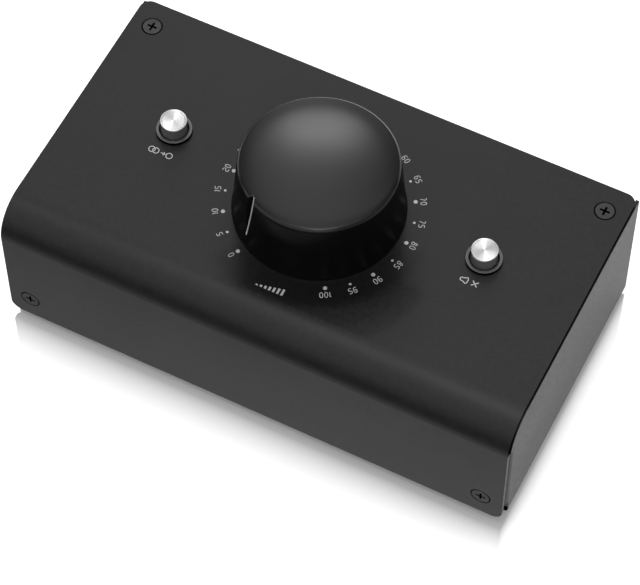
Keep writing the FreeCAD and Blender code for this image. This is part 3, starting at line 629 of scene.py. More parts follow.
class Brush(Graph):
    """Graph of a finish's material: its shader, the place on the object and the fine grain."""

    def __init__(self, finish: "Finish", shared: SharedEffects) -> None:
        """Makes the material, its shader and its grain.

        Args:
            finish: The finish.
            shared: The shared node groups.
        """
        self.material = bare_material(finish.name)
        super().__init__(self.material.node_tree)
        self.finish, self.shared = finish, shared
        self.shader = self.node("BsdfPrincipled", {"Specular IOR Level": finish.specular,
                                                   "Metallic": finish.metallic})
        self.node("OutputMaterial", {"Surface": self.shader}).is_active_output = True
        self.where = self.place()
        self.height, self.mottle, self.speck = self.effect(shared.grain, Scale=finish.grain)

    def effect(self, tree: bpy.types.NodeTree, **inputs: Any) -> tuple[Value, ...]:
        """Outputs of a shared group at the place on the object."""
        return self.group(tree, Vector=self.where, **inputs)

    def patches(self, scale: float) -> Value:
        """Mask of soft patches, so many per metre."""
        return self.effect(self.shared.clouds, Scale=scale)[0]

    def worn(self, width: float, gaps: float) -> Value:
        """Mask of rubbed edges of a width in millimetres, broken up by gaps."""
        return self.effect(self.shared.edges, Width=width * MM, Break=gaps)[0]

    def rings(self, x: float, y: float, pitch: float) -> tuple[Value, ...]:
        """Turning marks' height and the distance round the axis at x, y; millimetres."""
        return self.effect(self.shared.rings, X=x * MM, Y=y * MM, Pitch=pitch * MM)

    def step(self, value: Value, at: float, half: float, at_low: float = 0.0, at_high: float = 1.0) -> Value:
        """Smooth step at a coordinate in millimetres, half of its width to either side."""
        return self.ramp(value, (at - half) * MM, (at + half) * MM, at_low, at_high)

    def mirrored(self) -> Value:
        """1 where the surface is seen in another one's gloss."""
        return self.value("LightPath", out="Is Glossy Ray")

    def colour(self) -> Value:
        """Base colour, lightened and darkened by the mottle."""
        base, tone = self.finish.base, self.finish.tone
        return self.mix(self.mottle, tinted(base, 1 - tone), tinted(base, 1 + tone))

    def gloss(self, spread: float = 0.05) -> Value:
        """Roughness that wanders by the spread either way with the mottle."""
        middle = self.finish.roughness
        return self.ramp(self.mottle, 0.0, 1.0, middle - spread, middle + spread)

    def put(self, name: str, value: Any) -> None:
        """Feeds an input of the shader."""
        self.feed(self.shader.inputs[name], value)

    def bump(self, height: Value, strength: float, depth: float, normal: Value | None = None) -> Value:
        """Normal of a bump of a strength and a depth in millimetres, laid over a normal if one is given."""
        sockets = {"Strength": strength, "Distance": depth * MM, "Height": height}
        return self.value("Bump", sockets | ({"Normal": normal} if normal else {}))

    def lay(self, colour: Value, height: Value, rough: Value | None = None, normal: Value | None = None) -> None:
        """Feeds the shader's colour, gloss and relief.

        Args:
            colour: The base colour.
            height: Height of the relief.
            rough: Roughness; the wandering gloss if left out.
            normal: Normal that the relief starts from.
        """
        self.put("Base Color", colour)
        self.put("Roughness", rough or self.gloss())
        self.put("Normal", self.bump(height, self.finish.relief, self.finish.depth, normal))


@dataclass(frozen=True)
class Finish:
    """Plain start of every finish.

    Args:
        name: The material's name.
        base: Linear colour.
        roughness: Mean roughness.
        specular: Specular IOR level.
        metallic: 1 for bare metal.
        grain: Grain scale per metre.
        relief: Bump strength.
        depth: Bump distance in millimetres.
        tone: How far the mottle lightens and darkens the colour.
    """

    name: str
    base: Colour
    roughness: float = 0.4
    specular: float = 0.5
    metallic: float = 0.0
    grain: float = 2000.0
    relief: float = 0.2
    depth: float = 0.02
    tone: float = 0.12

    def dress(self, b: Brush) -> None:
        """Feeds the shader: mottled colour, wandering gloss and fine relief."""
        b.lay(b.colour(), b.height)


@dataclass(frozen=True)
class PowderCoat(Finish):
    """Black powder coat on sheet steel, with painted shade on thin cut edges and in a front corner.

    Args:
        edge_x: Distance from the middle, in millimetres, past which an outward side face gets painted shade.
        edge_from: Height above which that painted shade lies on the cut edge.
        edge_shade: Share of the colour that stays where the edge is painted in shade.
        notch: Depth in y and height below which the front corner is painted in shade.
        speck_share: How far the grain's specks come through.
        speck_light: How many times lighter than the coat they are.
        worn_share: How far the folds are rubbed.
        worn_light: How many times lighter the rubbed folds are.
        shaded: Share of its gloss that the coat loses where other gloss mirrors it.
    """

    edge_x: float = 500.0
    edge_from: float = 35.0
    edge_shade: float = 0.12
    notch: Pair = (-500.0, 0.0)
    speck_share: float = 0.35
    speck_light: float = 2.4
    worn_share: float = 0.25
    worn_light: float = 2.0
    shaded: float = 0.65

    def dress(self, b: Brush) -> None:
        """Feeds the shader: speckled coat, orange-peel relief, painted edge and corner shade, faint wear on
        folds.

        Args:
            b: The brush.
        """
        x, y, z = b.parts(b.where)
        # Painted shade: where cut is 1 (cut edge and front corner) the coat is painted near black, rough, almost
        # glossless.
        side = b.step(abs(x), self.edge_x - 0.04, 0.02) * b.step(z, self.edge_from, 0.5)
        corner = b.step(y, self.notch[0], 0.1, 1.0, 0.0) * b.step(z, self.notch[1], 0.1, 1.0, 0.0)
        cut, coat = b.most(side, corner), self.base[0]
        specks = b.mix(b.speck * self.speck_share, b.colour(), grey(coat * self.speck_light))
        rubbed = b.mix(b.worn(0.35, 0.8) * self.worn_share, specks, grey(coat * self.worn_light))
        rough = b.gloss(0.03) + b.patches(45.0) * 0.02
        sheen = b.ramp(b.mottle, 0.1, 0.9, 0.94 * self.specular, 1.06 * self.specular)
        b.put("Specular IOR Level", sheen * (1.0 - b.most(cut, b.mirrored() * self.shaded)))
        peel = b.value("TexNoise", {"Vector": b.where, "Scale": self.grain * 0.35, "Detail": 1.0})
        b.lay(b.mix(cut, rubbed, grey(coat * self.edge_shade)), b.height, b.most(rough, cut * 0.95),
              b.bump(peel, self.relief * 0.8, self.depth * 2))


@dataclass(frozen=True)
class KnobPlastic(Finish):
    """Black moulding with a smoother top face and shoulder.

    Args:
        top_radius: Radius that the smoother face reaches to.
        top_height: Height above which it lies.
        axis_y: The knob's axis in y.
        top_roughness: Roughness of that face.
        top_base: Linear value of that face.
        shaded: Share of its gloss that the knob loses where other gloss mirrors it.
    """

    top_radius: float = 20.8
    top_height: float = 64.6
    axis_y: float = 0.35
    top_roughness: float = 0.17
    top_base: float = 0.001
    shaded: float = 0.8

    def dress(self, b: Brush) -> None:
        """Feeds the shader: even side, smoother top with faint turning marks, dimmer mirror image.

        Args:
            b: The brush.
        """
        ring, far = b.rings(0.0, self.axis_y, 0.22)
        face = b.step(far, self.top_radius, 0.03, 1.0, 0.0) * b.step(b.parts(b.where)[2], self.top_height + 0.05,
                                                                     0.05)
        side = b.patches(70.0) * 0.05 + self.roughness
        top = b.mottle * 0.02 + self.top_roughness
        b.put("Specular IOR Level", (1.0 - b.mirrored() * self.shaded) * self.specular)
        b.lay(b.mix(face, b.colour(), grey(self.top_base)), (ring * 0.4 + b.height * 0.6) * face,
              side + (top - side) * face)


@dataclass(frozen=True)
class TurnedMetal(Finish):
    """Lathe-turned aluminium with rings round its own upright axis.

    Args:
        axis_x: The axis's x in millimetres.
        axis_y: The axis's y in millimetres.
        pitch: Distance of the turning marks in millimetres.
        streak: Anisotropy, which spreads the light across the marks.
        twist: Turn of that spread from along the marks, as a share of a full circle.
    """

    axis_x: float = 0.0
    axis_y: float = 0.0
    pitch: float = 0.05
    streak: float = 0.95
    twist: float = 0.25

    def dress(self, b: Brush) -> None:
        """Feeds the shader: bright rings, streaked gloss and fine grooves.

        Args:
            b: The brush.
        """
        b.put("Anisotropic", self.streak)
        b.put("Anisotropic Rotation", self.twist)
        b.put("Tangent", b.value("Tangent", direction_type="RADIAL", axis="Z"))
        ring, _ = b.rings(self.axis_x, self.axis_y, self.pitch)
        b.lay(b.mix(ring, tinted(self.base, 0.86), self.base), ring,
              b.ramp(ring, 0.0, 1.0, self.roughness - 0.06, self.roughness + 0.06))


@dataclass(frozen=True)
class BareMetal(Finish):
    """Drawn, plated or pressed metal with streaks, soft patches and bright edges.

    Args:
        streaks: How much longer the marks are along z than across.
        dull: Share of the colour that stays in the patches.
        bright: How many times brighter rubbed edges are.
    """

    streaks: float = 0.15
    dull: float = 0.72
    bright: float = 1.25

    def dress(self, b: Brush) -> None:
        """Feeds the shader: patchy tone, streaked roughness, rubbed edges and fine relief.

        Args:
            b: The brush.
        """
        long = b.value("Mapping", {"Vector": b.where, "Scale": (1.0, 1.0, self.streaks)})
        marks = b.value("TexNoise", {"Vector": long, "Scale": self.grain * 1.5, "Detail": 3.0})
        tone = b.mix(b.patches(160.0) * 0.6, b.colour(), tinted(self.base, self.dull))
        b.lay(b.mix(b.worn(0.2, 0.4) * 0.7, tone, tinted(self.base, self.bright)), marks,
              b.ramp(marks, 0.3, 0.7, self.roughness - 0.07, self.roughness + 0.09))


@dataclass(frozen=True)
class BoardFinish(Finish):
    """Green solder mask over copper tracks, with bare tinned pads.

    Args:
        track: Colour where copper lies under the mask.
        pad: Colour of the tinned pads.
        pad_radius: Their radius in millimetres.
        pitch: Track spacing in millimetres.
    """

    track: Colour = (0.02, 0.11, 0.035, 1.0)
    pad: Colour = (0.6, 0.6, 0.58, 1.0)
    pad_radius: float = 0.8
    pitch: float = 2.54

    def dress(self, b: Brush) -> None:
        """Feeds the shader: tracks as bands between random cells, round pads on a square grid, glossy mask.

        Args:
            b: The brush.
        """
        tracks = b.value("TexBrick", {"Vector": b.where, "Scale": 1.0, "Mortar Size": 0.00035,
                                      "Brick Width": self.pitch * 4 * MM, "Row Height": self.pitch * MM,
                                      "Mortar Smooth": 0.1}, "Fac")
        cell = self.pitch * 2 * MM
        dx, dy = (b.math("WRAP", c, cell) - cell / 2 for c in b.parts(b.where)[:2])
        snapped = b.value("VectorMath", {0: b.where, 1: (cell, cell, 1.0)}, operation="SNAP")
        chosen = b.math("GREATER_THAN", b.value("TexWhiteNoise", {"Vector": snapped}, "Value"), 0.6)
        pads = b.step(b.far(dx, dy), self.pad_radius, 0.05, 1.0, 0.0) * chosen
        b.put("Metallic", pads * 0.9)
        b.lay(b.mix(pads, b.mix(tracks, b.colour(), self.track), self.pad), tracks * 0.6 + pads)


@dataclass(frozen=True)
class RibbedCable(Finish):
    """Flat cable of joined round wires, ribbed across x.

    Args:
        pitch: Wire spacing in millimetres.
        marked: The x of the marked first wire's edge.
        first: Colour of that wire.
    """

    pitch: float = 1.27
    marked: float = -4.73
    first: Colour = (0.25, 0.02, 0.02, 1.0)

    def dress(self, b: Brush) -> None:
        """Feeds the shader: a rounded rib for each wire, painted shade in the creases between, one marked wire.

        Args:
            b: The brush.
        """
        x = b.parts(b.where)[0]
        rib = abs(b.math("SINE", x * (math.pi / (self.pitch * MM))))
        tone = b.mix(b.math("LESS_THAN", x, self.marked * MM), b.colour(), self.first)
        # Painted shade: the colour darkens to 0.3 of the base in the creases between ribs.
        b.lay(b.mix(b.ramp(rib, 0.0, 0.35, 1.0, 0.0), tone, grey(self.base[0] * 0.3)), rib)


@dataclass(frozen=True)
class ScrewHead(Finish):
    """Blackened screw with painted shade in its cross recess and on its flanks below the head's face, and on its
    edge.

    Args:
        axis: The coordinate that the face is square to: 1 for y, 2 for z.
        face: That coordinate of the face in millimetres.
        way: 1 when the face looks along the coordinate, -1 when it looks against it.
        centre: Distance of the axis from the middle in x, and its place in the third coordinate.
        rim: Radius past which the head's edge is painted in shade.
        recess: Depths between which the recess is painted into shade, the lower one first.
    """

    axis: int = 2
    face: float = 44.95
    way: float = 1.0
    centre: Pair = (66.6, 32.3)
    rim: float = 2.46
    recess: Pair = (-0.18, -0.03)

    def dress(self, b: Brush) -> None:
        """Feeds the shader: grained face, painted shade without gloss in the recess and at the edge, and a faint
        relief.

        Args:
            b: The brush.
        """
        place = b.parts(b.where)
        above = (place[self.axis] - self.face * MM) * self.way
        far = b.far(abs(place[0]) - self.centre[0] * MM, place[3 - self.axis] - self.centre[1] * MM)
        low, high = self.recess
        # Painted shade: deep is 1 below the face and past the rim, where the head is painted near black without
        # gloss.
        deep = b.most(b.step(far, self.rim + 0.025, 0.025), b.ramp(above, low * MM, high * MM, 1.0, 0.0))
        tone = b.mix(b.patches(300.0) * 0.5, b.colour(), tinted(self.base, 0.7))
        b.put("Metallic", (1.0 - deep) * self.metallic)
        b.put("Specular IOR Level", (1.0 - deep) * self.specular)
        b.lay(b.mix(deep, tone, grey(0.0008)), b.height)


@dataclass(frozen=True)
class RingMoulding(Finish):
    """Grey moulded ring with painted contact shade on its outer side, where it stands on the face.

    Args:
        axis_x: The ring's axis in x, millimetres.
        axis_y: The ring's axis in y.
        outer: Its outer radius.
    """

    axis_x: float = 0.0
    axis_y: float = 0.0
    outer: float = 4.87

    def dress(self, b: Brush) -> None:
        """Feeds the shader: even grey top, painted contact shade on the outer side, turning marks.

        Args:
            b: The brush.
        """
        ring, far = b.rings(self.axis_x, self.axis_y, 0.11)
        # Painted contact shade: the ring's outer side is near black and without gloss.
        contact_shade = b.step(far, self.outer - 0.045, 0.025)
        b.put("Specular IOR Level", (1.0 - contact_shade) * self.specular)
        b.lay(b.mix(contact_shade, b.colour(), grey(0.001)), ring + b.height)


@dataclass(frozen=True)
class PrintInk(Finish):
    """Pale screen-print ink, a little thin in places and dim where gloss mirrors it."""

    def dress(self, b: Brush) -> None:
        """Feeds the shader: patchy cover, matt face and mesh-like relief.

        Args:
            b: The brush.
        """
        thin = b.mix(b.speck * 0.5, b.colour(), tinted(self.base, 0.5))
        weave = b.value("TexChecker", {"Vector": b.where, "Scale": 9000.0}, "Fac")
        b.lay(b.mix(b.mirrored() * 0.6, thin, grey(0.01)), b.height + weave * 0.2)


@dataclass
class Paintbox:
    """All finishes, each turned into a material when first asked for.

    Args:
        shared: The shared node groups.
        made: Materials made so far, by name.
    """

    shared: SharedEffects
    made: dict[str, bpy.types.Material] = field(default_factory=dict)

    steel = PowderCoat("powder_coat_cover", grey(0.0040), 0.46, 0.235, grain=2600.0, depth=0.028, tone=0.10,
                       edge_x=72.85)
    tray = PowderCoat("powder_coat_tray", grey(0.0040), 0.46, 0.235, grain=2600.0, relief=0.16, depth=0.025,
                      tone=0.10, notch=(-36.4, 3.6))
    top_screw = ScrewHead("cover_screw_black", grey(0.014), 0.42, 0.30, grain=3000.0)
    front_screw = ScrewHead("front_screw_black", grey(0.0040), 0.46, 0.235, grain=3000.0, relief=0.16,
                            axis=1, face=-39.95, way=-1.0, centre=(66.6, 9.5))
    rubber = Finish("grey_rubber_foot", grey(0.09), 0.75, 0.3, grain=4000.0, relief=0.5, depth=0.05)
    knob = KnobPlastic("knob_moulding", grey(0.0019), 0.30, 0.235, grain=5000.0, relief=0.05, depth=0.004)
    inlay = PrintInk("pale_inlay", grey(0.33), 0.45, 0.4, grain=4000.0, relief=0.25)
    ink = PrintInk("pale_print", grey(0.40), 0.55, 0.3, grain=3500.0)
    brass = BareMetal("machined_brass", (0.55, 0.38, 0.14, 1.0), 0.3, 0.5, 1.0, grain=2500.0)
    bright = BareMetal("nickel_steel", grey(0.52), 0.28, 0.5, 1.0, grain=2500.0)
    spring = BareMetal("spring_wire", grey(0.45), 0.3, 0.5, 1.0, grain=6000.0)
    switch = Finish("switch_housing", grey(0.16), 0.5, 0.4, grain=2500.0, relief=0.25)
    phenolic = Finish("phenolic_wafer", (0.16, 0.07, 0.025, 1.0), 0.45, 0.4, grain=1200.0, tone=0.3)
    board = BoardFinish("solder_mask", (0.012, 0.07, 0.022, 1.0), 0.3, 0.5, grain=1500.0, relief=0.3,
                        depth=0.05)
    cable = RibbedCable("flat_cable", grey(0.28), 0.45, 0.4, grain=2500.0, relief=0.6, depth=0.3)
    plastic = Finish("black_moulding", grey(0.012), 0.4, 0.4, grain=3200.0, tone=0.2)
    stem = Finish("stem_moulding", grey(0.085), 0.35, 0.4, grain=3600.0, relief=0.15, tone=0.1)
    plunger = Finish("plunger_moulding", grey(0.65), 0.4, 0.5, grain=2500.0, relief=0.15)

    def __getitem__(self, finish: Finish) -> bpy.types.Material:
        """The material of a finish.

        Args:
            finish: The finish.

        Returns:
            Its material.
        """
        if finish.name not in self.made:
            brush = Brush(finish, self.shared)
            finish.dress(brush)
            self.made[finish.name] = brush.material
        return self.made[finish.name]


# ---------------------------------------------------------------- pieces

def dress_nodes(material: bpy.types.Material, *names: str) -> None:
    """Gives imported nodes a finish.

    Args:
        material: Its material.
        names: The nodes.
    """
    for name in names:
        target = frame["nodes"][name]
        for place in target.material_slots:
            place.material = material
        if not target.material_slots:
            target.data.materials.append(material)
        log.info("dressed %s with %s", name, material.name)


def add_piece(surface: Surface, name: str, body: Part, material: bpy.types.Material,
              stands_for: Sequence[str] = (), sharp: float = 35.0) -> bpy.types.Object:
    """Builds a piece and puts it on its body.

    Args:
        surface: Its shape.
        name: Its name.
        body: The body it rides on.
        material: Its material.
        stands_for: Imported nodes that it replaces.
        sharp: Angle in degrees above which edges stay sharp.

    Returns:
        The object.
    """
    made = surface.build(name, sharp)
    made.data.materials.append(material)
    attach(made, body.value)
    if stands_for:
        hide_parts(*stands_for)
    log.info("built %s: %d triangles", name, len(made.data.polygons))
    return made


@dataclass
class Assembly:
    """Sub-assembly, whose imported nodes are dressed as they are.

    Args:
        paint: The finishes.
        dressed: The nodes that each finish goes on.
    """

    paint: Paintbox
    dressed: ClassVar[dict[Finish, tuple[str, ...]]] = {}

    def build(self) -> None:
        """Dresses each node."""
        for finish, names in self.dressed.items():
            dress_nodes(self.paint[finish], *names)


class Enclosure(Assembly):
    """Folded cover, tray, rear panel, their screws and the feet."""

    dressed = {Paintbox.steel: ("top_cover",), Paintbox.tray: ("chassis", "rear_panel"),
               Paintbox.top_screw: ("cover_screws_top",), Paintbox.front_screw: ("cover_screws_front",),
               Paintbox.rubber: ("feet",)}


@dataclass
class VolumeKnob(Assembly):
    """Large hollow knob with its pointer, brass insert and shaft.

    Args:
        axis_y: The axis's y.
        base: Height of the lower edge.
        side: Radius and height of knots up the flared side.
        foot_round: Radius of the lower edge's rounding.
        shoulder: How far each knot of the shoulder lies inside and above the side's last knot.
        rim: Radius where the top face meets the shoulder.
        crown: Height of the middle of the top.
        dish: Fall of the top face from its middle to the rim, and its further fall close to the rim.
        rings: Radius and number of steps down to it, for each ring of the top face.
        wall: Wall thickness.
        ceiling: Height of the hollow's ceiling.
        boss: Radius and lower height of the middle boss.
        insert: Radius of the hole for the insert and height of its end.
        ribs: Number of stiffening ribs.
        rib_thick: Rib thickness.
        rib_low: Height of the ribs' lower edge.
        rib_ease: Radius of their corners.
        rib_bite: How far they reach into the boss, the wall and the ceiling.
        pointer_angle: Angle of the pointer round the axis in degrees.
        pointer_wide: The pointer's width.
        pointer_deep: How far it reaches below the notch's floor, and above it.
        pointer_ease: Width of its eased edges.
        pointer_ends: Heights of its lower and upper end.
        notch_floor: Radius of the notch's floor: its value at the lower end, and its change with the height
            above that and with that height squared.
        notch_flare: Rise of the notch's two walls per millimetre beside the floor, clockwise side first.
        notch_side: Radius above which the skin belongs to the side, so that the notch cuts it.
        floor_play: Room between the pointer and the notch's walls.
        fine: Distances beside the pointer, clockwise and other side, between which columns are fine.
        fine_steps: Numbers of fine columns on the two sides.
        mean: Radius at which those distances become angles.
        even: Angle in degrees between the other columns.
        clear: Smallest angle between them and the fine ones.
        cut: Angle beside the pointer within which the skin is cut.
        kept: Radii between which the fine columns keep their distance.
        kept_near: Angle over which columns stop doing so.
        mouth: Height above which the notch's clockwise edge is eased.
        edge_wide: Width of that easing.
        edge_fall: Its fall.
    """

    dressed = {Paintbox.brass: ("knob_bush",), Paintbox.bright: ("pot_shaft",)}
    axis_y: float = 0.35
    base: float = 45.6
    side: tuple[Pair, ...] = ((22.80, 45.60), (22.42, 48.0), (22.05, 52.0), (21.70, 56.0), (21.40, 60.0),
                              (21.05, 63.3))
    foot_round: float = 0.15
    shoulder: tuple[Pair, ...] = ((0.06, 0.60), (0.20, 1.10), (0.44, 1.46))
    rim: float = 20.3
    crown: float = 66.0
    dish: Pair = (0.7, 0.22)
    rings: tuple[tuple[float, int], ...] = ((18.6, 17), (14.0, 15), (0.0, 17))
    wall: float = 1.9
    ceiling: float = 61.8
    boss: Pair = (6.2, 49.3)
    insert: Pair = (4.02, 60.9)
    ribs: int = 6
    rib_thick: float = 1.2
    rib_low: float = 54.0
    rib_ease: float = 0.12
    rib_bite: tuple[float, float, float] = (0.2, 0.15, 0.2)
    pointer_angle: float = -120.6
    pointer_wide: float = 0.46
    pointer_deep: Pair = (-0.28, 0.02)
    pointer_ease: float = 0.06
    pointer_ends: Pair = (50.16, 65.08)
    notch_floor: tuple[float, float, float] = (22.24, -0.2365, 0.0032)
    notch_flare: Pair = (2.14, 0.84)
    notch_side: float = 16.0
    floor_play: float = 0.03
    fine: Pair = (-1.5, 2.5)
    fine_steps: tuple[int, int] = (14, 20)
    mean: float = 20.5
    even: float = 1.5
    clear: float = 0.012
    cut: float = 0.3
    kept: Pair = (18.0, 23.0)
    kept_near: float = 0.25
    mouth: float = 64.8
    edge_wide: float = 0.28
    edge_fall: float = 0.09

    def top_height(self, r: np.ndarray) -> np.ndarray:
        """Height of the top face: the crown less 0.7 p^2 and 0.22 p^14 at the share p of the rim's radius."""
        p = r / self.rim
        return self.crown - self.dish[0] * p ** 2 - self.dish[1] * p ** 14

    def floor(self, height: np.ndarray) -> np.ndarray:
        """Radius a + b h + c h^2 of the notch's floor, h being the height above the pointer's lower end."""
        h = height - self.pointer_ends[0]
        return np.polyval(self.notch_floor[::-1], h)

    def outer_profile(self) -> np.ndarray:
        """Outer skin from the lower edge over the shoulder to the middle of the top.

        The side is a smooth curve through its knots, the shoulder a smooth curve that leaves it upright and
        rolls over into the top face. The shoulder's curve has a run before its start and one past its end,
        which are cut off.

        Returns:
            Rows of radius and height.
        """
        side, ease = spline(self.side), self.foot_round
        foot = arc(side[0, 0] - ease, side[0, 1] + ease, ease, -90, 0, 4)
        r = [np.array([self.rim])]
        for end, steps in self.rings:
            r.append(np.linspace(r[-1][-1], end, steps + 1)[1:])
        r = np.concatenate(r)
        top, last = np.stack([r, self.top_height(r)], -1), side[-1]
        knots = [side[-2], last] + [last + [-dx, dz] for dx, dz in self.shoulder] + [top[0], top[2]]
        run = 8
        return np.concatenate([foot, side[1:], spline(knots, run)[run + 1:-run], top[1:]])

    def inner_profile(self) -> np.ndarray:
        """Inner skin from the middle of the insert's hole out to the lower edge.

        Returns:
            Rows of radius and height.
        """
        wall = spline(self.side, 3)
        wall = wall[(wall[:, 1] < self.ceiling) & (wall[:, 1] > self.base)] - [self.wall, 0]
        (boss_r, boss_low), (hole, hole_top) = self.boss, self.insert
        middle = [[0.0, hole_top], [hole, hole_top], [hole, boss_low], [boss_r, boss_low],
                  [boss_r, self.ceiling], [wall[-1, 0], self.ceiling]]
        return np.concatenate([middle, wall[::-1], [[self.side[0][0] - self.wall, self.base]]])

    def columns(self, half: float) -> np.ndarray:
        """Places of the shell's columns: even steps, with fine ones near the pointer.

        Args:
            half: Half of the width of the notch's floor.

        Returns:
            A row of angles from the pointer.
        """
        (start, end), (before, after) = self.fine, self.fine_steps
        fine = np.concatenate([np.linspace(start, -half, before), [0.0], np.linspace(half, end, after)])
        fine, even = fine / self.mean, np.radians(np.arange(0, 360, self.even)) - np.pi
        even = even[(even < fine[0] - self.clear) | (even > fine[-1] + self.clear)]
        return np.sort(np.concatenate([even, fine]))[None, :]

    def shell(self) -> Surface:
        """Closed hollow shell with the notch that the pointer lies in.

        The notch is a trough cut in from the side, deepest at the top face: the radius is the smaller of the
        profile's and of the trough's, which is the floor's radius plus the walls' rise times the distance
        beside the floor. The fine columns keep their distance from the pointer's plane at every radius.
        Along the clockwise edge above the mouth the face falls a little.

        Returns:
            The surface.
        """
        outer = self.outer_profile()
        profile = np.concatenate([outer, self.inner_profile()])
        skin, height = profile[:, :1], profile[:, 1:]
        half = self.pointer_wide / 2 + self.floor_play
        spread = self.columns(half)
        trough = self.floor(height) + np.where(spread < 0, *self.notch_flare) * np.clip(
            np.abs(spread * self.mean) - half, 0, None)
        near = (np.arange(len(profile)) < len(outer))[:, None] & (np.abs(spread) < self.cut)
        r = np.where(near & (skin > self.notch_side), np.minimum(skin, trough), skin)
        keep = (self.mean / np.clip(r, *self.kept) - 1) * np.exp(-(spread / self.kept_near) ** 4)
        angle = np.radians(self.pointer_angle) + spread * (1 + keep)
        off = (trough - r) * np.sin(np.arctan(1 / self.notch_flare[0]))
        fall = self.edge_fall * np.clip(1 - off / self.edge_wide, 0, 1)
        fall = np.where(near & (spread < 0) & (height > self.mouth), fall, 0.0)
        grid = np.stack([r * np.cos(angle), self.axis_y + r * np.sin(angle), height - fall + 0 * angle], -1)
        return Surface.from_grid(grid, wrap_rows=True, wrap_cols=True)

    def rib_set(self) -> Surface:
        """Ribs from the boss to the wall, evenly turned round the axis.

        Returns:
            The surface.
        """
        (inside, outside, above), half = self.rib_bite, self.rib_thick / 2
        one = block((self.boss[0] - inside, -half, self.rib_low),
                    (self.side[3][0] - self.wall + outside, half, self.ceiling + above), self.rib_ease)
        return Surface.joined([one.turned(360 * (k + 0.5) / self.ribs).moved(0, self.axis_y)
                               for k in range(self.ribs)])

    def pointer(self) -> Surface:
        """Inlaid line: a flat bar with eased edges up the notch's floor.

        The path runs in the pointer's plane along the floor. The bar's up is the floor's outward normal, and
        its side is up crossed with the path's direction.

        Returns:
            The surface.
        """
        height = np.linspace(*self.pointer_ends, 25)
        run = np.stack([self.floor(height), height], -1)
        slope = units(np.gradient(run, axis=0))
        a = math.radians(self.pointer_angle)
        ray, rise = np.array([math.cos(a), math.sin(a), 0.0]), np.array([0.0, 0.0, 1.0])
        path = run[:, :1] * ray + run[:, 1:] * rise + [0, self.axis_y, 0]
        along = slope[:, :1] * ray + slope[:, 1:] * rise
        up = slope[:, 1:] * ray - slope[:, :1] * rise
        w, (low, high) = self.pointer_wide / 2, self.pointer_deep
        half = np.array([[w, low], [w, 0.0], [w - self.pointer_ease, high]])
        return swept(path, np.cross(up, along), up, np.concatenate([half, half[::-1] * [-1, 1]]))

    def build(self) -> None:
        """Builds the shell and the pointer and dresses the insert and the shaft."""
        p = self.paint
        add_piece(Surface.joined([self.shell(), self.rib_set()]), "knob_shell", Part.KNOB,
                  p[p.knob], ["volume_knob"], 50.0)
        add_piece(self.pointer(), "pointer_inlay", Part.KNOB, p[p.inlay], ["knob_pointer"])
        super().build()


